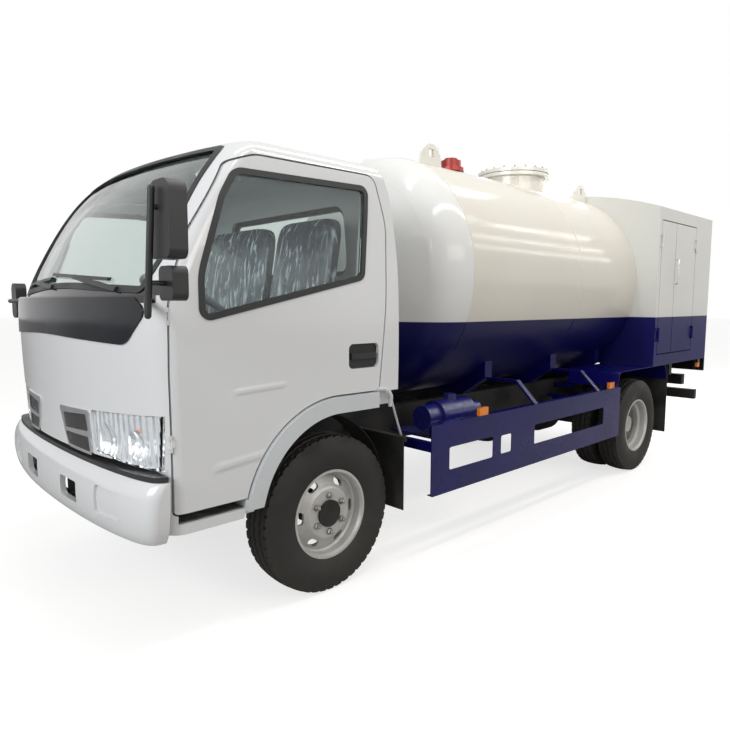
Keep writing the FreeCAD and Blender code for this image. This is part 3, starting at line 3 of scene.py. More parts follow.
import bpy
import numpy as np
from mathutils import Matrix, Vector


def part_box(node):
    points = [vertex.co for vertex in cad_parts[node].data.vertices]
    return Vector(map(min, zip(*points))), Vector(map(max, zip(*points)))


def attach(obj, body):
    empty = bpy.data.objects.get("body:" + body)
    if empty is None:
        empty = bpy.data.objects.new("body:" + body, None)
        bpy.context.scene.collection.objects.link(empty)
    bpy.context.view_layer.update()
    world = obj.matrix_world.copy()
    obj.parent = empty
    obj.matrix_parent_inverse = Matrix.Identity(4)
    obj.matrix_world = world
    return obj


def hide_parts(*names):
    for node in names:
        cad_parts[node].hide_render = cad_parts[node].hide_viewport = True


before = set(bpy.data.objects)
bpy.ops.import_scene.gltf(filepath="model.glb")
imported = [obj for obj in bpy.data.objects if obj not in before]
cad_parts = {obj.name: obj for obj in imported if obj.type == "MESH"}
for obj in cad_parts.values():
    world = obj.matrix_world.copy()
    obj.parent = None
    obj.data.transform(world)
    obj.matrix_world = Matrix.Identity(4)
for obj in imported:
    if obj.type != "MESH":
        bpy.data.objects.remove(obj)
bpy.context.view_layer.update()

# Viewpoint
# The truck is seen from its front left corner at a standing adult's chest
# height, with a 30 mm lens and no shift.
camera_place = (3.7245, 3.0215, 1.4146)
camera_degrees = (84.155, -0.157, -223.373)
camera_lens_mm = 29.93
scene = bpy.context.scene
camera = bpy.data.objects.new("viewpoint", bpy.data.cameras.new("viewpoint"))
camera.location = camera_place
camera.rotation_euler = [math.radians(degrees) for degrees in camera_degrees]
camera.data.lens = camera_lens_mm
camera.data.sensor_width = 36
camera.data.clip_end = 200
scene.collection.objects.link(camera)
scene.camera = camera
scene.view_settings.view_transform = "Standard"


# Light and background
# Rows of soft overhead lamps and a broad front light, as in a hall, over a
# plain white background that only the camera and reflections see.
def add_node(tree, kind, *inputs, **settings):
    """A shader node with its settings, and its inputs linked or set in pairs of name and value."""
    made = tree.nodes.new("ShaderNode" + kind)
    for name, value in settings.items():
        setattr(made, name, value)
    for name, value in inputs:
        if isinstance(value, bpy.types.NodeSocket):
            tree.links.new(value, made.inputs[name])
        else:
            made.inputs[name].default_value = value
    return made


def reckon(tree, operation, *values, **settings):
    """The result of one sum on links or constants."""
    return add_node(tree, "Math", *enumerate(values), operation=operation, **settings).outputs[0]


def ramp(tree, value, low, high, to_low=0.0, to_high=1.0, run="LINEAR"):
    """A value carried from the range low to high over to another range, and held at its ends."""
    return add_node(tree, "MapRange", ("Value", value), ("From Min", low), ("From Max", high),
                    ("To Min", to_low), ("To Max", to_high), interpolation_type=run).outputs[0]


def soft_lamp(name, place, aim, size, power, colour=(1, 1, 1)):
    """A rectangular lamp of a width and height at a place, with its face turned towards its aim."""
    lamp = bpy.data.lights.new(name, "AREA")
    lamp.shape = "RECTANGLE"
    lamp.size, lamp.size_y = size
    lamp.energy = power
    lamp.color = colour
    holder = bpy.data.objects.new(name, lamp)
    holder.location = place
    away = np.array(place, float) - np.array(aim, float)
    away /= np.linalg.norm(away)
    holder.rotation_euler = (math.acos(away[2]), 0, math.atan2(away[1], away[0]) + math.pi / 2)
    scene.collection.objects.link(holder)


window_white = (0.94, 0.97, 1.0)
wall_white = (1.0, 0.97, 0.91)
tube_white = (1.0, 0.98, 0.94)
soft_lamp("front_light", (8.0, 1.5, 3.6), (2.6, 0, 1.2), (4.0, 2.6), 250, window_white)
soft_lamp("left_light", (1.2, 7.5, 4.2), (0, 0.6, 1.1), (6.0, 1.6), 120, wall_white)
soft_lamp("overhead_left", (-0.6, 2.6, 5.2), (-0.6, 0.2, 1.6), (7.0, 0.35), 90, tube_white)
soft_lamp("overhead_middle", (-0.6, 0.2, 5.4), (-0.6, 0, 1.6), (7.0, 0.35), 90, tube_white)
for row, (place_y, power) in enumerate(((2.2, 34), (3.4, 34), (4.8, 40))):
    soft_lamp(f"tube_row_{row}", (-8.0, place_y, 4.4), (-8.0, 0.6, 1.4), (9.0, 0.10), power, tube_white)
soft_lamp("rear_light", (-8.0, -2.5, 4.0), (-2, 0, 1.2), (4.0, 2.6), 160)

mirrored_share = 0.72
fill_strength = 0.38
world = bpy.data.worlds.new("hall")
world.use_nodes = True
scene.world = world
sky = world.node_tree
sky.nodes.clear()
path = add_node(sky, "LightPath")
seen = reckon(sky, "MAXIMUM", path.outputs["Is Camera Ray"], path.outputs["Is Transmission Ray"])
mirrored = reckon(sky, "MULTIPLY", path.outputs["Is Glossy Ray"], mirrored_share)
strength = ramp(sky, reckon(sky, "MAXIMUM", seen, mirrored), 0.0, 1.0, fill_strength, 1.0)
backdrop = add_node(sky, "Background", ("Color", (1, 1, 1, 1)), ("Strength", strength))
add_node(sky, "OutputWorld", ("Surface", backdrop.outputs[0]))

# Floor
# A pale floor that keeps the truck's soft shadow and fades into the white
# backdrop.
floor_half = 60.0
floor_z = -0.001
floor_glow = 0.70
floor_mesh = bpy.data.meshes.new("floor")
floor_corners = [(x * floor_half, y * floor_half, floor_z) for x, y in ((-1, -1), (1, -1), (1, 1), (-1, 1))]
floor_mesh.from_pydata(floor_corners, [], [(0, 1, 2, 3)])
floor = bpy.data.objects.new("floor", floor_mesh)
scene.collection.objects.link(floor)
floor_finish = bpy.data.materials.new("pale_floor")
floor_finish.use_nodes = True
tree = floor_finish.node_tree
glow = ramp(tree, add_node(tree, "LightPath").outputs["Is Camera Ray"], 0.0, 1.0, 0.0, floor_glow)
shader = tree.nodes["Principled BSDF"]
shader.inputs["Base Color"].default_value = (0.42, 0.41, 0.40, 1)
shader.inputs["Roughness"].default_value = 0.7
shader.inputs["Emission Color"].default_value = (1, 1, 1, 1)
tree.links.new(glow, shader.inputs["Emission Strength"])
floor_mesh.materials.append(floor_finish)


# Painted steel cab
# Pressed steel panels in gloss white, with orange-peel texture, road dust low
# down, and creases pressed into the doors.
def new_group(name, inputs, outputs):
    """A node group with its inputs' first values and its outputs' kinds, and its two end nodes."""
    group = bpy.data.node_groups.new(name, "ShaderNodeTree")
    for title, value in inputs:
        kind = "NodeSocketColor" if isinstance(value, tuple) else "NodeSocketFloat"
        group.interface.new_socket(title, in_out="INPUT", socket_type=kind).default_value = value
    for title, kind in outputs:
        group.interface.new_socket(title, in_out="OUTPUT", socket_type=kind)
    return group, group.nodes.new("NodeGroupInput"), group.nodes.new("NodeGroupOutput")


def mix_colours(tree, factor, first, second):
    """The colour between two, links or constants, at a factor."""
    made = tree.nodes.new("ShaderNodeMix")
    made.data_type = "RGBA"
    for index, value in ((0, factor), (6, first), (7, second)):
        if isinstance(value, bpy.types.NodeSocket):
            tree.links.new(value, made.inputs[index])
        else:
            made.inputs[index].default_value = value
    return made.outputs[2]


def noise(tree, place, scale, detail, **settings):
    """The height of a noise over a place."""
    more = [(name.capitalize(), value) for name, value in settings.items()]
    return add_node(tree, "TexNoise", ("Vector", place), ("Scale", scale), ("Detail", detail),
                    *more).outputs["Fac"]


def make_surface_group():
    """Patches mix two colours by noise, dust is added by height over the ground times a second noise, a
    fine noise gives the grain that the bump is made from, and roughness runs between two values with the
    patches."""
    group, given, out = new_group("surface", (
        ("Colour", (0.8, 0.8, 0.8, 1)), ("Second", (0.7, 0.7, 0.7, 1)), ("Patch scale", 2.0),
        ("Grain scale", 300.0), ("Grain height", 0.0002), ("Smooth", 0.2), ("Rough", 0.3), ("Dust", 0.0),
        ("Dust top", 0.8)),
        (("Colour", "NodeSocketColor"), ("Roughness", "NodeSocketFloat"), ("Normal", "NodeSocketVector")))
    place = add_node(group, "TexCoord").outputs["Object"]
    patch = noise(group, place, given.outputs["Patch scale"], 4.0)
    patch_low, patch_high = 0.35, 0.65
    mixed = mix_colours(group, ramp(group, patch, patch_low, patch_high), given.outputs["Colour"],
                        given.outputs["Second"])
    height = add_node(group, "SeparateXYZ", (0, place)).outputs["Z"]
    near_ground = ramp(group, height, given.outputs["Dust top"], 0.0, run="SMOOTHSTEP")
    cloud = noise(group, place, 14.0, 6.0, roughness=0.7)
    settled = reckon(group, "MULTIPLY", near_ground, cloud)
    dust = reckon(group, "MULTIPLY", settled, given.outputs["Dust"], use_clamp=True)
    dusty = mix_colours(group, dust, mixed, (0.30, 0.27, 0.23, 1))
    rough = ramp(group, patch, patch_low, patch_high, given.outputs["Smooth"], given.outputs["Rough"])
    rougher = reckon(group, "ADD", rough, dust, use_clamp=True)
    grain = noise(group, place, given.outputs["Grain scale"], 3.0)
    bump = add_node(group, "Bump", ("Height", grain), ("Distance", given.outputs["Grain height"]))
    group.links.new(dusty, out.inputs["Colour"])
    group.links.new(rougher, out.inputs["Roughness"])
    group.links.new(bump.outputs[0], out.inputs["Normal"])
    return group


surface = make_surface_group()


def make_finish(name, colour, second, smooth, rough, patch=2.0, grain=300.0, relief=0.0001, dust=0.0,
                dust_top=0.9, metal=0.0, coat=0.0, specular=0.5):
    """A material on the surface group; constants go straight to the shader's own sockets."""
    material = bpy.data.materials.new(name)
    material.use_nodes = True
    tree = material.node_tree
    shader = tree.nodes["Principled BSDF"]
    skin = add_node(tree, "Group", ("Colour", (*colour, 1)), ("Second", (*second, 1)), ("Patch scale", patch),
                    ("Grain scale", grain), ("Grain height", relief), ("Smooth", smooth), ("Rough", rough),
                    ("Dust", dust), ("Dust top", dust_top), node_tree=surface)
    tree.links.new(skin.outputs["Colour"], shader.inputs["Base Color"])
    tree.links.new(skin.outputs["Roughness"], shader.inputs["Roughness"])
    tree.links.new(skin.outputs["Normal"], shader.inputs["Normal"])
    shader.inputs["Metallic"].default_value = metal
    shader.inputs["Specular IOR Level"].default_value = specular
    shader.inputs["Coat Weight"].default_value = coat
    shader.inputs["Coat Roughness"].default_value = 0.04
    return material


def dress(material, *nodes):
    """Gives CAD nodes a better material in their own slots."""
    for node in nodes:
        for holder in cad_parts[node].material_slots:
            holder.material = material


def object_axis(tree, axis):
    """The Object coordinate on one axis, in metres."""
    return add_node(tree, "SeparateXYZ", (0, add_node(tree, "TexCoord").outputs["Object"])).outputs[axis]


def make_crease(tree, line_x, line_z, width, depth, chain, fade=0.06):
    """A soft fold pressed along a sloping line: a bump whose height falls off smoothly with the distance from
    the line z = z0 + slope * (x - x0), and dies away over a length at each end."""
    x, z = object_axis(tree, "X"), object_axis(tree, "Z")
    slope = (line_z[1] - line_z[0]) / (line_x[1] - line_x[0])
    rise = reckon(tree, "MULTIPLY_ADD", reckon(tree, "SUBTRACT", x, line_x[0]), slope, line_z[0])
    away = reckon(tree, "ABSOLUTE", reckon(tree, "SUBTRACT", z, rise))
    fold = ramp(tree, away, width, 0.0, run="SMOOTHERSTEP")
    start = ramp(tree, x, min(line_x), min(line_x) + fade, run="SMOOTHSTEP")
    end = ramp(tree, x, max(line_x), max(line_x) - fade, run="SMOOTHSTEP")
    height = reckon(tree, "MULTIPLY", fold, reckon(tree, "MULTIPLY", start, end))
    return add_node(tree, "Bump", ("Height", height), ("Distance", depth), ("Normal", chain)).outputs[0]


def make_band(tree, axis, low, high, soft=0.001):
    """A mask that is 1 where the Object coordinate on an axis lies between two values; y counts both ways."""
    value = object_axis(tree, axis)
    if axis == "Y":
        value = reckon(tree, "ABSOLUTE", value)
    over = ramp(tree, value, low - soft, low + soft)
    under = ramp(tree, value, high + soft, high - soft)
    return reckon(tree, "MULTIPLY", over, under)


def all_of(tree, *masks):
    """The product of masks, 1 only where each of them is."""
    value = masks[0]
    for mask in masks[1:]:
        value = reckon(tree, "MULTIPLY", value, mask)
    return value


def paint_over(material, mask, colour):
    """Puts a second colour over a material's own where the mask is 1."""
    tree = material.node_tree
    shader = tree.nodes["Principled BSDF"]
    under = shader.inputs["Base Color"].links[0].from_socket
    tree.links.new(mix_colours(tree, mask, under, (*colour, 1)), shader.inputs["Base Color"])


deep_black = (0.012, 0.012, 0.013)
cab_paint, door_paint = (
    make_finish(name, (0.70, 0.705, 0.71), (0.67, 0.675, 0.68), 0.16, 0.24, patch=1.3, grain=900,
                relief=0.00004, dust=0.35, dust_top=0.75, coat=0.6)
    for name in ("cab_white_paint", "door_white_paint"))
waist_crease = ((2.17, 2.47), (1.066, 1.052), 0.022, 0.004)
lower_crease = ((2.26, 2.56), (0.780, 0.752), 0.030, 0.005)
tree = door_paint.node_tree
shader = tree.nodes["Principled BSDF"]
chain = shader.inputs["Normal"].links[0].from_socket
for line_x, line_z, width, depth in (waist_crease, lower_crease):
    chain = make_crease(tree, line_x, line_z, width, depth, chain)
tree.links.new(chain, shader.inputs["Normal"])
dress(cab_paint, "cab_shell", "bumper")
dress(door_paint, "door_left", "door_right")

# The black cowl under the windscreen, and the inside of the cab painted
# near-black, for its dark lining and for the shade inside it; the painted part is
# narrower from the waist up.
cowl_x, cowl_y, cowl_z = (2.66, 3.0), (-1.0, 0.868, 0.002), (1.412, 1.497)
shaded_lining_x = (1.612, 2.56)
shaded_lining_bands = (((-1.0, 0.835), (0.9, 1.60)), ((-1.0, 0.735), (1.60, 1.952)))
tree = cab_paint.node_tree
cowl = all_of(tree, make_band(tree, "X", *cowl_x), make_band(tree, "Y", *cowl_y),
              make_band(tree, "Z", *cowl_z))
paint_over(cab_paint, cowl, deep_black)
# The inside is painted near-black: partly its dark lining, partly painted shade for the dark inside of the
# cab.
for lining_y, lining_z in shaded_lining_bands:
    shaded_lining = all_of(tree, make_band(tree, "X", *shaded_lining_x), make_band(tree, "Y", *lining_y),
                    make_band(tree, "Z", *lining_z))
    paint_over(cab_paint, shaded_lining, (0.040, 0.038, 0.037))

# Wheel arch flares
# Moulded silver-grey plastic bands clipped round the front wheel arches, matt
# and dusty along their lower ends.
flare_finish = make_finish("arch_flare_plastic", (0.60, 0.62, 0.64), (0.56, 0.58, 0.60), 0.30, 0.42,
                           patch=3.0, grain=1400, relief=0.00008, dust=0.5, dust_top=0.85)
dress(flare_finish, "arch_flares")


# Windows
# Laminated safety glass set in black rubber, clear to shadow rays so that the
# cab inside is lit.
def make_glass(name, tint, rough, index, smear_rough=0.03):
    """Clear glass whose shadow is let through, with faint smears in its roughness."""
    material = bpy.data.materials.new(name)
    material.use_nodes = True
    tree = material.node_tree
    shader = tree.nodes["Principled BSDF"]
    smear = noise(tree, add_node(tree, "TexCoord").outputs["Object"], 3.5, 5.0)
    haze = ramp(tree, smear, 0.4, 0.75, rough, rough + smear_rough)
    tree.links.new(haze, shader.inputs["Roughness"])
    shader.inputs["Base Color"].default_value = (*tint, 1)
    shader.inputs["Transmission Weight"].default_value = 1.0
    shader.inputs["IOR"].default_value = index
    path = add_node(tree, "LightPath")
    clear = add_node(tree, "BsdfTransparent", ("Color", (*tint, 1)))
    either = add_node(tree, "MixShader", (0, path.outputs["Is Shadow Ray"]))
    tree.links.new(shader.outputs[0], either.inputs[1])
    tree.links.new(clear.outputs[0], either.inputs[2])
    tree.links.new(either.outputs[0], tree.nodes["Material Output"].inputs["Surface"])
    return material


window_glass = make_glass("safety_glass", (0.74, 0.80, 0.78), 0.0, 1.45)
dress(window_glass, "windscreen", "rear_window", "door_glass_left", "door_glass_right")
rubber = make_finish("black_rubber", deep_black, (0.02, 0.02, 0.021), 0.42, 0.6, patch=6, grain=1800,
                     relief=0.0002)
dress(rubber, "window_seals", "door_seal_left", "door_seal_right")

# Dark front panel
# A gloss black moulded panel over the bonnet flap, with a painted lighter sheen
# towards its middle, where the hall's light falls on it.
panel_finish = make_finish("front_panel_gloss", (0.012, 0.013, 0.016), (0.02, 0.021, 0.025), 0.06, 0.12,
                           patch=3, grain=700, relief=0.00003, specular=0.35)
tree = panel_finish.node_tree
# Painted highlight: the panel's colour is greyed towards its middle, where the light falls on it.
outward = reckon(tree, "ABSOLUTE", object_axis(tree, "Y"))
painted_sheen = ramp(tree, outward, 0.45, 0.10, 0.0, 0.8, run="SMOOTHSTEP")
paint_over(panel_finish, painted_sheen, (0.035, 0.036, 0.042))
dress(panel_finish, "front_panel")

# Black plastic trim
# Grained black plastic of the wipers, mirrors and the strip over the bumper,
# and the greyer plastic of the dashboard and the steering wheel.
trim = make_finish("black_trim_plastic", (0.014, 0.014, 0.015), (0.024, 0.024, 0.025), 0.34, 0.5, patch=5,
                   grain=1500, relief=0.00025)
dress(trim, "wipers", "mirrors", "bumper_strip")
cabin_plastic = make_finish("cabin_grey_plastic", (0.10, 0.10, 0.105), (0.13, 0.13, 0.135), 0.45, 0.6,
                            patch=5, grain=1300, relief=0.0003)
dress(cabin_plastic, "dashboard", "steering_wheel")

# Grille
# Two bright plated surrounds, each with a black expanded-metal mesh let in:
# strands cross both ways at a slope and leave diamond holes, painted near-black
# as the shade seen through them.
bright = make_finish("bright_plating", (0.72, 0.73, 0.75), (0.62, 0.63, 0.65), 0.10, 0.22, patch=9,
                     grain=500, relief=0.00003, metal=1.0)
dress(bright, "grille_surrounds")
mesh_finish = make_finish("grille_mesh", deep_black, (0.02, 0.02, 0.021), 0.4, 0.55, patch=8, grain=900,
                          relief=0.0001)
strands_a_metre = 95.0
strand_slope = 0.55
tree = mesh_finish.node_tree
y, z = object_axis(tree, "Y"), object_axis(tree, "Z")
strands = []
for operation in ("ADD", "SUBTRACT"):
    slant = reckon(tree, operation, z, reckon(tree, "MULTIPLY", y, strand_slope))
    cell = reckon(tree, "FRACT", reckon(tree, "MULTIPLY", slant, strands_a_metre))
    away = reckon(tree, "ABSOLUTE", reckon(tree, "SUBTRACT", cell, 0.5))
    strands.append(ramp(tree, away, 0.38, 0.43))
strand = reckon(tree, "MAXIMUM", *strands)
shader = tree.nodes["Principled BSDF"]
# The holes are painted near-black: painted shade for the dark space behind the mesh.
hole_shade_black, strand_grey = (0.003, 0.003, 0.003, 1), (0.10, 0.10, 0.10, 1)
tree.links.new(mix_colours(tree, strand, hole_shade_black, strand_grey), shader.inputs["Base Color"])
raised = add_node(tree, "Bump", ("Height", strand), ("Distance", 0.002))
tree.links.new(raised.outputs[0], shader.inputs["Normal"])
dress(mesh_finish, "grille")

# Headlamps
# Clear moulded plastic lenses bonded over the lamps' plated reflectors; the
# low index lets the bowls behind show.
lens_glass = make_glass("lamp_lens", (0.93, 0.95, 0.96), 0.01, 1.18)
dress(lens_glass, "headlamps")

# Chassis
# Pressed and forged steel in satin black, dusty underneath, with rubber
# mudguards and steps of pressed tread plate bolted on.
chassis_paint = make_finish("chassis_black_paint", deep_black, (0.026, 0.025, 0.024), 0.35, 0.6, patch=5,
                            grain=420, relief=0.0003, dust=0.08, dust_top=1.0, specular=0.25)
dress(chassis_paint, "frame", "engine", "propshaft", "front_axle", "rear_axle", "springs", "tie_rod",
      "fuel_tank", "knuckle_left", "knuckle_right", "lamp_bar", "underrun_bar", "hub_front_left",
      "hub_front_right")
flap_rubber = make_finish("mudguard_rubber", (0.013, 0.013, 0.014), (0.03, 0.029, 0.027), 0.5, 0.75,
                          patch=7, grain=600, relief=0.0005, dust=0.10, dust_top=0.9, specular=0.2)
dress(flap_rubber, "mudguards")
step_metal = make_finish("step_tread_plate", (0.20, 0.20, 0.21), (0.10, 0.10, 0.10), 0.35, 0.6, patch=20,
                         grain=500, relief=0.0004, metal=0.8)
dress(step_metal, "steps")

# Tank and cabinet
# Rolled steel in cream-white over navy blue, the boundary masked off level at
# the same height on both; the pump, guards and lamps below are sprayed apart.
boundary_z = 1.300
paint_grain, paint_relief = 500.0, 0.00004
navy_specular = 0.3


def make_two_tone(name, upper, upper_second, lower, lower_second, edge=0.0015):
    """Two surface colours split where Object z passes the boundary's height; the lower is rougher."""
    material = make_finish(name, upper, upper_second, 0.10, 0.18, patch=1.1, grain=paint_grain,
                           relief=paint_relief, specular=navy_specular)
    tree = material.node_tree
    shader = tree.nodes["Principled BSDF"]
    above = shader.inputs["Base Color"].links[0].from_socket
    below = add_node(tree, "Group", ("Colour", (*lower, 1)), ("Second", (*lower_second, 1)),
                     ("Patch scale", 1.5), ("Grain scale", paint_grain), ("Grain height", paint_relief),
                     ("Dust", 0.25), ("Dust top", 1.1), node_tree=surface)
    mask = ramp(tree, object_axis(tree, "Z"), boundary_z - edge, boundary_z + edge)
    tree.links.new(mix_colours(tree, mask, below.outputs["Colour"], above), shader.inputs["Base Color"])
    smoothness = shader.inputs["Roughness"].links[0].from_socket
    worn = reckon(tree, "ADD", smoothness, ramp(tree, mask, 0.0, 1.0, 0.22, 0.0))
    tree.links.new(worn, shader.inputs["Roughness"])
    return material


navy_blue, navy_blue_second = (0.0035, 0.003, 0.095), (0.003, 0.0025, 0.070)
two_tone = make_two_tone("two_tone_paint", (0.69, 0.665, 0.60), (0.66, 0.63, 0.56),
                         (0.0030, 0.0027, 0.075), (0.0025, 0.0022, 0.055))
cabinet_paint = make_two_tone("cabinet_two_tone_paint", (0.68, 0.68, 0.65), (0.65, 0.65, 0.61), navy_blue,
                              navy_blue_second)
# Below the valance's top the cabinet is painted near-black: painted shade over the navy of the skirt
# underneath.
shaded_valance_top_z = 0.8795
paint_over(cabinet_paint, make_band(cabinet_paint.node_tree, "Z", 0.0, shaded_valance_top_z), (0.010, 0.010, 0.011))
dress(two_tone, "tank")
dress(cabinet_paint, "cabinet", "cabinet_door_left_front", "cabinet_door_left_rear",
      "cabinet_door_right_front", "cabinet_door_right_rear")
cream = make_finish("cream_paint", (0.78, 0.76, 0.70), (0.72, 0.70, 0.63), 0.2, 0.35, patch=3, grain=500,
                    relief=0.00008, coat=0.4)
dress(cream, "manhole", "tank_lugs")
valve_red = make_finish("valve_red_paint", (0.42, 0.025, 0.012), (0.30, 0.02, 0.012), 0.25, 0.4, patch=12,
                        grain=400, relief=0.0002)
dress(valve_red, "relief_valve")
navy = make_finish("navy_paint", navy_blue, navy_blue_second, 0.20, 0.34, patch=2.5, grain=420,
                   relief=0.0001, dust=0.03, dust_top=0.9, coat=0.2, specular=navy_specular)
dress(navy, "side_guards", "tank_saddles", "rear_fenders")
pump_navy = make_finish("pump_navy_paint", (0.010, 0.012, 0.15), (0.008, 0.009, 0.11), 0.2, 0.35, patch=6,
                        grain=300, relief=0.0003, dust=0.2, dust_top=0.9, coat=0.4)
dress(pump_navy, "pump")
amber = make_finish("amber_lens", (0.85, 0.25, 0.015), (0.75, 0.20, 0.01), 0.12, 0.25, patch=30, grain=250,
                    relief=0.0006, coat=0.5)
dress(amber, "marker_lamps")
tree = amber.node_tree
side_bracket = all_of(tree, make_band(tree, "X", -2.9, -2.6), make_band(tree, "Z", 0.842, 0.9))
paint_over(amber, side_bracket, deep_black)

# Wheels
# Pressed steel rims in silver paint, and rubber tyres moulded with a crowned
# tread of three zigzag grooves and notched shoulders, two on each rear hub.
wheel_silver = make_finish("wheel_silver_paint", (0.55, 0.55, 0.54), (0.48, 0.47, 0.45), 0.30, 0.45,
                           patch=7, grain=600, relief=0.0001, metal=0.35, dust=0.3, dust_top=0.7)
dress(wheel_silver, "rim_front_left", "rim_front_right", "rims_rear_left", "rims_rear_right")
tyre_rubber = make_finish("tyre_rubber", (0.008, 0.0072, 0.0062), (0.015, 0.0125, 0.010), 0.5, 0.75,
                          patch=8, grain=500, relief=0.0005, dust=0.10, dust_top=0.5)


def new_piece(name, points, faces, material, body, sharp=40):
    """A mesh piece at the origin, smooth except over edges sharper than an angle, riding on a body."""
    mesh = bpy.data.meshes.new(name)
    mesh.from_pydata(np.asarray(points, float).tolist(), [], faces)
    mesh.polygons.foreach_set("use_smooth", [True] * len(mesh.polygons))
    mesh.set_sharp_from_angle(angle=math.radians(sharp))
    mesh.materials.append(material)
    piece = bpy.data.objects.new(name, mesh)
    scene.collection.objects.link(piece)
    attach(piece, body)
    return piece


def ring_faces(rows, columns, first=0, closed=True):
    """Quads between neighbouring rings of points, each ring closed; the last ring meets the first one too
    where the grid is closed both ways."""
    row, column = np.arange(rows if closed else rows - 1)[:, None], np.arange(columns)
    ahead, beside = (row + 1) % rows, (column + 1) % columns
    corners = (row * columns + column, row * columns + beside, ahead * columns + beside,
               ahead * columns + column)
    return (first + np.stack(corners, -1).reshape(-1, 4)).tolist()


tread_half, tread_columns = 0.078, 80
around = 288
groove_depth, groove_half, groove_edge = 0.010, 0.0058, 0.0016
groove_middles = (-0.040, 0.0, 0.040)
notch_count, notch_half, notch_edge, notch_share = 48, 0.17, 0.06, 0.8
zigzag_reach, shoulder_start, shoulder_edge = 0.0028, 0.058, 0.002
tyre_width, tread_inset = 0.194, 0.0005
bead_radius, bead_half, bead_seat = 0.212, 0.074, 0.2085
shoulder_drop, crown_drop = 0.014, 0.007


def tyre_section(radius, width):
    """The closed outline of a tyre as across and radius: bead, wall bulged by half a sine, rounded shoulder,
    tread crowned by a square law and back, with the inside as a flat seat."""
    wall_angle = np.linspace(0, 1, 16)[1:-1]
    wall_radius = bead_radius + (radius - shoulder_drop - bead_radius) * wall_angle
    bulge = width / 2 * (0.80 + 0.20 * np.sin(np.pi * np.clip(wall_angle * 0.93 + 0.05, 0, 1)))
    tread = np.linspace(-tread_half, tread_half, tread_columns)
    crown = radius - crown_drop * (tread / tread_half) ** 2
    across = np.concatenate([[-bead_half], -bulge, tread, bulge[::-1], [bead_half]])
    out = np.concatenate([[bead_seat], wall_radius, crown, wall_radius[::-1], [bead_seat]])
    return across, out


def tyre_points(centre_x, centre_y, centre_z, radius):
    """Each outline point turned about the axle; tread points sink by the depth of three zigzag grooves and of
    the shoulder notches, each a smooth step of the distance from its middle line."""
    across, out = tyre_section(radius, tyre_width)
    turn = np.arange(around) / around
    zigzag = zigzag_reach * (2 * np.abs(2 * (turn * notch_count % 1) - 1) - 1)
    sunk = np.zeros((around, len(across)))
    for middle in groove_middles:
        away = np.abs(across[None, :] - middle - zigzag[:, None])
        sunk = np.maximum(sunk, np.clip((groove_half - away) / groove_edge, 0, 1))
    lateral = np.abs((turn * notch_count) % 1 - 0.5)[:, None]
    shoulder = np.clip((np.abs(across)[None, :] - shoulder_start) / shoulder_edge, 0, 1)
    notch = np.clip((notch_half - lateral) / notch_edge, 0, 1)
    sunk = np.maximum(sunk, shoulder * notch * notch_share)
    tread = (np.abs(across) <= tread_half) & (out > radius - 0.012)
    depth = out[None, :] - groove_depth * sunk * tread[None, :]
    angle = 2 * np.pi * turn[:, None]
    x = centre_x + depth * np.cos(angle)
    z = centre_z + depth * np.sin(angle)
    y = centre_y + np.broadcast_to(across, depth.shape)
    return np.stack([x, y, z], -1).reshape(-1, 3), len(across)


def make_tyres(node, body, centres):
    """One piece of treaded tyres on a body, in place of its plain node, one at each middle across."""
    low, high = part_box(node)
    centre_x, centre_z = (low[0] + high[0]) / 2, (low[2] + high[2]) / 2
    radius = (high[2] - low[2]) / 2 - tread_inset
    points, faces = [], []
    for centre_y in centres:
        ring, columns = tyre_points(centre_x, centre_y, centre_z, radius)
        faces += ring_faces(around, columns, len(points) * ring.shape[0])
        points.append(ring)
    piece = new_piece(node + "_treaded", np.concatenate(points), faces, tyre_rubber, body, 35)
    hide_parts(node)


for node, body, middles in (("tyre_front_", "wheel_front_", (0.740,)),
                            ("tyres_rear_", "wheels_rear_", (0.837, 0.612))):
    for side, name in ((1, "left"), (-1, "right")):
        make_tyres(node + name, body + name, [side * middle for middle in middles])


def surface_hit(node, start, direction):
    """Where a ray from a point first meets a CAD node."""
    found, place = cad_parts[node].ray_cast(start, direction)[:2]
    return np.array(place) if found else None


def end_faces(rows, columns):
    """One many-sided face over the first ring of a grid and one over its last."""
    last = (rows - 1) * columns
    return [list(range(columns))[::-1], list(range(last, last + columns))]


def lathe(outline, steps, start, axis):
    """An outline of along and radius turned about an axis from a start point, each point at
    start + along * axis + radius * (cos, sin); its ends are closed."""
    axis = np.array(axis, float) / np.linalg.norm(axis)
    side = np.cross(axis, (0, 0, 1) if abs(axis[2]) < 0.9 else (1, 0, 0))
    side /= np.linalg.norm(side)
    up = np.cross(axis, side)
    angle = 2 * np.pi * np.arange(steps) / steps
    turned = np.cos(angle)[:, None] * side + np.sin(angle)[:, None] * up
    along, radius = np.array(outline, float).T[:, :, None, None]
    points = (np.array(start) + along * axis + radius * turned).reshape(-1, 3)
    return points, ring_faces(len(outline), steps, closed=False) + end_faces(len(outline), steps)


def merged(shapes):
    """Several shapes as one list of points and one of faces."""
    points, faces, count = [], [], 0
    for more_points, more_faces in shapes:
        faces += [[index + count for index in face] for face in more_faces]
        points.append(more_points)
        count += len(more_points)
    return np.concatenate(points), faces


# Wheel nuts
# Zinc-plated steel nuts with the stud's end standing out of each, screwed on
# in a ring of six on the wheel's dished disc.
nut_zinc = make_finish("nut_zinc", (0.42, 0.41, 0.38), (0.30, 0.28, 0.25), 0.25, 0.45, patch=40, grain=900,
                       relief=0.0002, metal=0.9, dust=0.3, dust_top=0.9)
nut_outline = ((-0.002, 0.016), (0.0, 0.0165), (0.014, 0.0165), (0.017, 0.0145), (0.0171, 0.009),
               (0.027, 0.009), (0.029, 0.0075))
nut_count, nut_ring_radius = 6, 0.0905
axle_z, front_axle_x, rear_axle_x = 0.39, 1.87, -1.43
outside_y, disc_inner_y = 1.1, 0.5


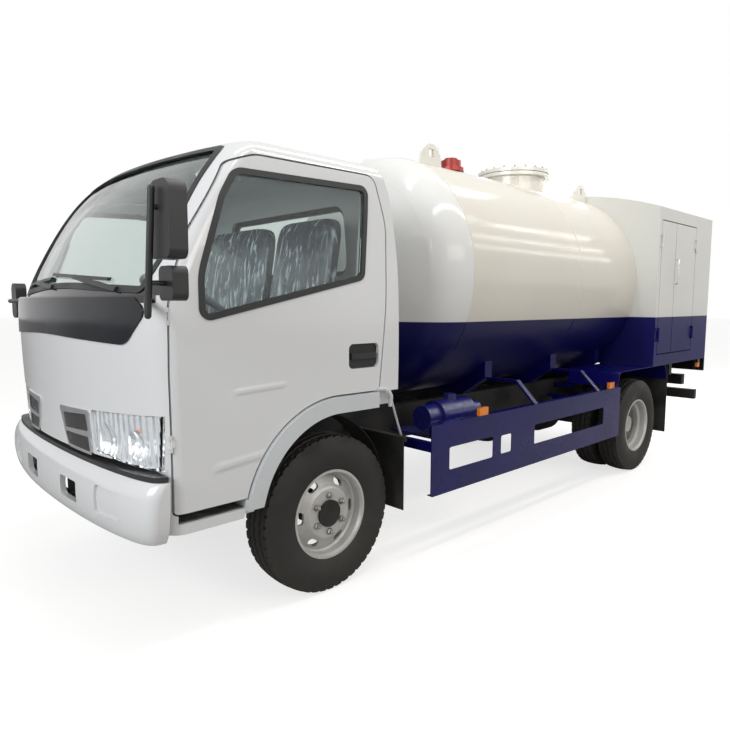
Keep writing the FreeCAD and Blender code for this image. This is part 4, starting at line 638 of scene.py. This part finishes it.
def make_nuts(node, body, centre_x, side):
    """Nuts where rays along the axle from outside meet the disc."""
    nuts = []
    for index in range(nut_count):
        angle = 2 * math.pi * (index + 0.5) / nut_count
        start = (centre_x + nut_ring_radius * math.cos(angle), side * outside_y,
                 axle_z + nut_ring_radius * math.sin(angle))
        place = surface_hit(node, start, (0, -side, 0))
        if place is not None and abs(place[1]) > disc_inner_y:
            nuts.append(lathe(nut_outline, 6, place, (0, side, 0)))
    if nuts:
        new_piece("nuts_" + body, *merged(nuts), nut_zinc, body, 30)


for side, name in ((1, "left"), (-1, "right")):
    make_nuts("rim_front_" + name, "wheel_front_" + name, front_axle_x, side)
    make_nuts("rims_rear_" + name, "wheels_rear_" + name, rear_axle_x, side)

# Seat cushions
# Foam cushions and backrests under dark cloth, still in their clear factory
# wrap, whose film is puckered, with its white streaks of reflection painted on.
seat_wrap = make_finish("wrapped_seat_cloth", (0.05, 0.055, 0.075), (0.09, 0.095, 0.12), 0.08, 0.30,
                        patch=11, grain=38, relief=0.010, coat=0.8)
film_stretch = (16.0, 19.0, 3.0)
film_depth = 0.02
tree = seat_wrap.node_tree
place = add_node(tree, "TexCoord").outputs["Object"]
spread = add_node(tree, "VectorMath", (0, place), (1, film_stretch), operation="MULTIPLY")
film = noise(tree, spread.outputs[0], 1.0, 5.0, distortion=2.2)
# Painted reflection: pale streaks are painted on wherever the stretched film noise is high.
paint_over(seat_wrap, ramp(tree, film, 0.54, 0.64), (0.62, 0.65, 0.72))
creased = add_node(tree, "Bump", ("Height", film), ("Distance", film_depth))
tree.links.new(creased.outputs[0], tree.nodes["Principled BSDF"].inputs["Normal"])


def crowned_form(low, high, thick_axis, crown, steps=26, squareness=7, fold=0.0022):
    """A rounded box: every direction of a cube's grid is cut back to |x|^n + |y|^n + |z|^n = 1, then
    stretched to the size. The two broad faces rise by a crown that is full in the middle and nothing at the
    rim. A sum of sines gives small folds."""
    low, high = np.array(low, float), np.array(high, float)
    line = np.tan(np.linspace(-np.pi / 4, np.pi / 4, steps))
    first, second = np.meshgrid(line, line, indexing="ij")
    corner = (np.arange(steps - 1)[:, None] * steps + np.arange(steps - 1)).ravel()
    quads = np.stack([corner, corner + steps, corner + steps + 1, corner + 1], 1)
    points, faces = [], []
    for axis in range(3):
        for sign in (-1, 1):
            wall = np.full((steps, steps, 3), float(sign))
            wall[..., (axis + 1) % 3], wall[..., (axis + 2) % 3] = first, second
            faces.append(len(points) * steps ** 2 + (quads if sign > 0 else quads[:, ::-1]))
            points.append(wall.reshape(-1, 3))
    unit = np.concatenate(points)
    unit /= ((np.abs(unit) ** squareness).sum(1) ** (1 / squareness))[:, None]
    others = [axis for axis in range(3) if axis != thick_axis]
    rim = (1 - np.abs(unit[:, others[0]]) ** 3) * (1 - np.abs(unit[:, others[1]]) ** 3)
    size = (high - low) / 2
    form = (low + high) / 2 + unit * size * (0.96, 0.98, 0.96)
    wave = (np.sin(form[:, 1] * 61 + 3 * np.sin(form[:, 2] * 23)) * np.sin(form[:, 0] * 47 + form[:, 2] * 53)
            + 0.6 * np.sin(form[:, 1] * 113 + form[:, 0] * 71) * np.sin(form[:, 2] * 97))
    lift = rim * crown + fold * wave * rim
    form[:, thick_axis] += np.sign(unit[:, thick_axis]) * np.abs(unit[:, thick_axis]) * (lift - crown * 0.8)
    spots, index = np.unique(np.round(form, 6) + 0.0, axis=0, return_inverse=True)
    return spots, index.ravel()[np.concatenate(faces)].tolist()


cushion_x, cushion_z, cushion_crown = (1.695, 2.188), (1.185, 1.318), 0.022
back_half, back_z, back_crown = 0.052, (1.255, 1.855), 0.020
back_foot_x, back_lean = 1.790, 0.17
seat_pads = []
for label, low_y, high_y in (("driver", 0.190, 0.690), ("bench", -0.690, 0.130)):
    cushion = crowned_form((cushion_x[0], low_y, cushion_z[0]), (cushion_x[1], high_y, cushion_z[1]), 2,
                           cushion_crown)
    seat_pads.append(new_piece("cushion_" + label, *cushion, seat_wrap, "cab", 60))
    points, faces = crowned_form((-back_half, low_y, back_z[0]), (back_half, high_y, back_z[1]), 0,
                                 back_crown)
    points[:, 0] += back_foot_x - (points[:, 2] - back_z[0]) * back_lean
    seat_pads.append(new_piece("backrest_" + label, points, faces, seat_wrap, "cab", 60))
for pad in seat_pads:
    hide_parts("seats")

# Headlamp reflectors
# Each lens hides a plated plastic reflector with two bowls and upright flutes,
# frosted bulbs in the bowls and an amber bulb beside the outer one.
reflector = make_finish("lamp_reflector", (0.92, 0.93, 0.94), (0.84, 0.85, 0.87), 0.08, 0.24, patch=16,
                        grain=120, metal=0.8)
flute_turns, flute_depth = 190.0, 0.0030
tree = reflector.node_tree
flute = reckon(tree, "SINE", reckon(tree, "MULTIPLY", object_axis(tree, "Y"), flute_turns))
fluted = add_node(tree, "Bump", ("Height", flute), ("Distance", flute_depth))
tree.links.new(fluted.outputs[0], tree.nodes["Principled BSDF"].inputs["Normal"])
bulb_glass = make_finish("lamp_bulb_frost", (0.85, 0.86, 0.88), (0.75, 0.77, 0.80), 0.15, 0.25, patch=20,
                         grain=500)
amber_bulb = make_finish("amber_bulb", (0.80, 0.20, 0.02), (0.70, 0.15, 0.01), 0.15, 0.25, patch=30,
                         grain=300)
bowls = ((0.541, 0.855, 0.072), (0.728, 0.862, 0.058))
lamp_rows, lamp_columns = 60, 90
lamp_inner_y, lamp_rear_x, lamp_ahead_x, sheet_rear_x = 0.42, 2.745, 3.2, 2.736
sheet_sunk, bowl_depth, sheet_thickness = 0.010, 0.036, 0.003
bulb_outline = ((0, 0.011), (0.010, 0.011), (0.018, 0.008), (0.021, 0.003))
turn_bulb_outline = ((0, 0.013), (0.014, 0.013), (0.024, 0.009), (0.028, 0.003))
bulb_x, turn_bulb_x, turn_bulb_y, turn_bulb_z = 2.762, 2.748, 0.742, 0.921


def make_reflector(side):
    """A sheet a little inside the lens's front where rays from ahead meet it, at x = front - sunk, where sunk
    grows by a paraboloid at each bowl; a back sheet a wall's thickness behind it; and a strip along every
    edge that only one face has."""
    low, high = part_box("headlamps")
    reach_y, reach_z = high[1] - lamp_inner_y, high[2] - low[2]
    y, z = np.meshgrid(lamp_inner_y + reach_y * (np.arange(lamp_columns) + 0.5) / lamp_columns,
                       low[2] + reach_z * (np.arange(lamp_rows) + 0.5) / lamp_rows)
    hits = [surface_hit("headlamps", (lamp_ahead_x, side * at_y, at_z), (-1, 0, 0))
            for at_y, at_z in zip(y.flat, z.flat)]
    front = np.array([-1.0 if hit is None else hit[0] for hit in hits]).reshape(y.shape)
    sunk = np.full(y.shape, sheet_sunk)
    for bowl_y, bowl_z, bowl_radius in bowls:
        ratio = ((y - bowl_y) ** 2 + (z - bowl_z) ** 2) / bowl_radius ** 2
        sunk = np.maximum(sunk, sheet_sunk + bowl_depth * (1 - ratio))
    behind_lens = front >= lamp_rear_x
    sheet = np.stack([np.maximum(front - sunk, sheet_rear_x), side * y, z], -1)[behind_lens]
    index = np.full(y.shape, -1)
    index[behind_lens] = np.arange(len(sheet))
    quads = np.stack([index[:-1, :-1], index[:-1, 1:], index[1:, 1:], index[1:, :-1]], -1).reshape(-1, 4)
    quads = quads[(quads >= 0).all(1)][:, ::side]
    edges = list(zip(quads.ravel().tolist(), np.roll(quads, -1, axis=1).ravel().tolist()))
    paired = set(edges)
    faces = np.stack([quads, quads[:, ::-1] + len(sheet)], 1).reshape(-1, 4).tolist()
    faces += [(second, first, first + len(sheet), second + len(sheet))
              for first, second in edges if (second, first) not in paired]
    return np.concatenate([sheet, sheet - (sheet_thickness, 0, 0)]), faces


for side, name in ((1, "left"), (-1, "right")):
    new_piece("reflector_" + name, *make_reflector(side), reflector, "cab", 50)
    bulbs = [lathe(bulb_outline, 20, (bulb_x, side * y, z), (1, 0, 0)) for y, z, _ in bowls]
    new_piece("lamp_bulbs_" + name, *merged(bulbs), bulb_glass, "cab", 50)
    turn_bulb = lathe(turn_bulb_outline, 20, (turn_bulb_x, side * turn_bulb_y, turn_bulb_z), (1, 0, 0))
    new_piece("turn_bulb_" + name, *turn_bulb, amber_bulb, "cab", 50)

# Manhole bolts
# Twenty zinc-plated hexagon bolts with the stud's end standing out of each,
# which pull the lid down on its flange.
low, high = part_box("manhole")
lid_x, lid_y, lid_radius = (low[0] + high[0]) / 2, (low[1] + high[1]) / 2, (high[0] - low[0]) / 2
lid_top_z = high[2]
bolt_outline = ((-0.001, 0.010), (0.009, 0.010), (0.0095, 0.006), (0.018, 0.006), (0.019, 0.005))
bolt_count, bolt_inset = 20, 0.022
bolt_ring_radius = lid_radius - bolt_inset
bolts = []
for index in range(bolt_count):
    angle = 2 * math.pi * index / bolt_count
    above = (lid_x + bolt_ring_radius * math.cos(angle), lid_y + bolt_ring_radius * math.sin(angle),
             lid_top_z + 0.2)
    place = surface_hit("manhole", above, (0, 0, -1))
    if place is not None:
        bolts.append(lathe(bolt_outline, 6, place, (0, 0, 1)))
new_piece("manhole_bolts", *merged(bolts), nut_zinc, "chassis", 30)

# Tank head tint
# The dished steel head in front is painted whiter and cooler than the barrel
# behind its weld, down to the navy: a painted highlight for the cool front light
# that falls on it.
front_weld_x = 0.72
# Painted highlight: a whiter, cooler cream over the front head where the front light falls.
tree = two_tone.node_tree
lit_head = all_of(tree, make_band(tree, "X", front_weld_x + 0.002, 3.0, 0.01), make_band(tree, "Z", 1.3015, 3.0))
paint_over(two_tone, lit_head, (0.70, 0.70, 0.685))


# Tank weld seams
# The ground steel welds where the dished front head joins the barrel and
# halfway along it, painted over and following the tank's own section.
def tube(path, radius, steps=16):
    """A round tube along points: each ring stands square to the line through its neighbours, at
    path + radius * (cos, sin); the ends are closed."""
    path = np.array(path, float)
    ahead = np.gradient(path, axis=0)
    ahead /= np.linalg.norm(ahead, axis=1)[:, None]
    side = np.cross(ahead, (0.13, 0.21, 0.97))
    side /= np.linalg.norm(side, axis=1)[:, None]
    up = np.cross(ahead, side)
    angle = 2 * np.pi * np.arange(steps) / steps
    turned = np.cos(angle)[:, None] * side[:, None] + np.sin(angle)[:, None] * up[:, None]
    rings = path[:, None] + radius * turned
    return rings.reshape(-1, 3), ring_faces(len(path), steps, closed=False) + end_faces(len(path), steps)


def seam_ring(node, at_x, middle_z, reach, bead, steps=160):
    """A bead of round section along the points where rays towards the axis meet the node, open below."""
    path = []
    for turn in np.linspace(-0.18, 1.18, steps) * math.pi:
        out = np.array((0.0, math.cos(turn), math.sin(turn)))
        hit = surface_hit(node, tuple(np.array((at_x, 0.0, middle_z)) + reach * out), tuple(-out))
        if hit is not None:
            path.append(hit)
    return tube(path, bead, 8)


seam_xs, tank_middle_z, tank_reach, seam_bead = (front_weld_x, -0.62), 1.55, 1.6, 0.0032
seams = [seam_ring("tank", at_x, tank_middle_z, tank_reach, seam_bead) for at_x in seam_xs]
new_piece("tank_seams", *merged(seams), two_tone, "chassis", 60)


# Cab corner pipes
# A white painted steel tube loop behind each arch flare and the stay rod under
# it, both bolted to the cab's lower rear corner and tilting with it.
def smooth_path(stops, count=12):
    """Points on a Catmull-Rom curve through the stops: a cubic between each two that leaves along the line
    through their neighbours."""
    stops = np.array(stops, float)
    ends = np.vstack([2 * stops[0] - stops[1], stops, 2 * stops[-1] - stops[-2]])
    a, b, c, d = ends[:-3, None], ends[1:-2, None], ends[2:-1, None], ends[3:, None]
    t = (np.arange(count) / count)[:, None]
    path = 0.5 * (2 * b + (c - a) * t + (2 * a - 5 * b + 4 * c - d) * t ** 2
                  + (3 * b - a - 3 * c + d) * t ** 3)
    return np.vstack([path.reshape(-1, 3), stops[-1]])


loop_radius, stay_radius = 0.011, 0.006
for side, name in ((1, "left"), (-1, "right")):
    loop = [(1.640, side * 0.905, 0.990), (1.585, side * 0.905, 0.985), (1.545, side * 0.905, 0.950),
            (1.538, side * 0.895, 0.895)]
    stay = [(1.526, side * 0.880, 0.957), (1.440, side * 0.840, 0.825), (1.350, side * 0.800, 0.694)]
    pipes = merged([tube(smooth_path(loop), loop_radius), tube(smooth_path(stay), stay_radius)])
    new_piece("corner_pipes_" + name, *pipes, flare_finish, "cab", 60)


# Tow openings
# Black trays with a narrow rim, let into the bumper's two openings for the tow
# hooks and a finger's depth deep: painted shade for the dark inside of the hollow
# bumper.
def rounded_tray(centre_y, centre_z, half_y, half_z, face_x, depth, corner, steps=10):
    """A shallow tray: a rectangle whose corners are quarter circles, carried back, drawn in and closed by its
    floor, with a second wall round it that meets its rim."""
    turn = np.concatenate([np.linspace(quarter, quarter + 1, steps) for quarter in range(4)]) * math.pi / 2
    sign_y, sign_z = np.repeat([(1, 1), (-1, 1), (-1, -1), (1, -1)], steps, axis=0).T
    y = sign_y * (half_y - corner) + corner * np.cos(turn)
    z = sign_z * (half_z - corner) + corner * np.sin(turn)
    rings = ((0.0, 1.0), (-depth, 0.92), (-depth - 0.003, 0.92), (-0.0005, 1.03), (0.0, 1.03))
    back, scale = np.array(rings).T[:, :, None]
    points = np.stack(np.broadcast_arrays(face_x + back, centre_y + y * scale, centre_z + z * scale), -1)
    count = len(turn)
    spot, beside = np.arange(count), (np.arange(count) + 1) % count
    walls = [np.stack([first * count + spot, second * count + spot, second * count + beside,
                       first * count + beside], 1) for first, second in ((0, 1), (2, 3), (3, 4), (4, 0))]
    floors = [list(range(count, 2 * count)), list(range(2 * count, 3 * count))[::-1]]
    return points.reshape(-1, 3), np.concatenate(walls).tolist() + floors


tow_y, tow_z, tow_half_y, tow_half_z = 0.2625, 0.6085, 0.112, 0.066
bumper_face_x, tray_depth, tray_corner = 2.8605, 0.030, 0.016
# These black trays are painted shade: they close the openings where the hollow bumper would be dark inside.
shade_trays = [rounded_tray(side * tow_y, tow_z, tow_half_y, tow_half_z, bumper_face_x, tray_depth, tray_corner)
         for side in (1, -1)]
new_piece("tow_shade_trays", *merged(shade_trays), trim, "chassis", 35)

# Mirror glasses
# Silvered glass clipped into the rear of each of the three heads, behind a
# thin black rim.
mirror_glass = make_finish("mirror_silver", (0.82, 0.84, 0.85), (0.80, 0.82, 0.83), 0.01, 0.03, patch=4,
                           grain=300, relief=0.00001, metal=1.0)
glass_thickness = 0.0008
# Each glass's middle across and up, half width and height, corner radius and its head's rear face.
main_glass = (1.058, 1.690), (0.056, 0.114), 0.030, 2.7448
small_glass = (1.015, 1.480), (0.040, 0.047), 0.018, 2.7158
far_glass = (-1.0795, 1.4225), (0.036, 0.088), 0.028, 2.6838
glasses = []
for middle, half, corner, rear_x in (main_glass, small_glass, far_glass):
    points, faces = rounded_tray(*middle, *half, 0.0, glass_thickness, corner)
    glasses.append((points * (-1, 1, 1) + (rear_x, 0, 0), [face[::-1] for face in faces]))
new_piece("mirror_glasses", *merged(glasses), mirror_glass, "cab", 35)

# Manhole gasket
# A dark rubber ring squeezed between the lid and its flange, so that it shows
# as a line round the lid's edge.
gasket_z = lid_top_z - 0.028
gasket_radius, gasket_points, outside_radius = 0.0035, 97, 0.6
gasket = []
for turn in np.linspace(0, 2 * math.pi, gasket_points):
    out = (math.cos(turn), math.sin(turn))
    outside = (lid_x + outside_radius * out[0], lid_y + outside_radius * out[1], gasket_z)
    hit = surface_hit("manhole", outside, (-out[0], -out[1], 0))
    if hit is not None:
        gasket.append(hit)
new_piece("manhole_gasket", *tube(gasket, gasket_radius, 8), rubber, "chassis", 60)


# Cabinet handles
# A bright plated steel pull handle on each side's front leaf, beside the edge
# where the two leaves meet, with both feet riveted on.
def make_pull(side, radius=0.006):
    """A round bar bent on a smooth curve to stand off the leaf, with its two feet on it."""
    foot_y = side * cabinet_leaf_y
    knee_y, grip_y = foot_y + side * pull_knee, foot_y + side * pull_stand_off
    stops = [(pull_x, foot_y, pull_low_z), (pull_x, knee_y, pull_low_z + 0.008),
             (pull_x, grip_y, pull_low_z + 0.03), (pull_x, grip_y, pull_high_z - 0.03),
             (pull_x, knee_y, pull_high_z - 0.008), (pull_x, foot_y, pull_high_z)]
    return tube(smooth_path(stops, 6), radius, 12)


cabinet_leaf_y, pull_knee, pull_stand_off = 0.988, 0.020, 0.024
pull_x, pull_low_z, pull_high_z = -1.935, 1.585, 1.795
for side, name in ((1, "left"), (-1, "right")):
    new_piece("cabinet_pull_" + name, *make_pull(side), bright, "cabinet_door_" + name + "_front", 60)
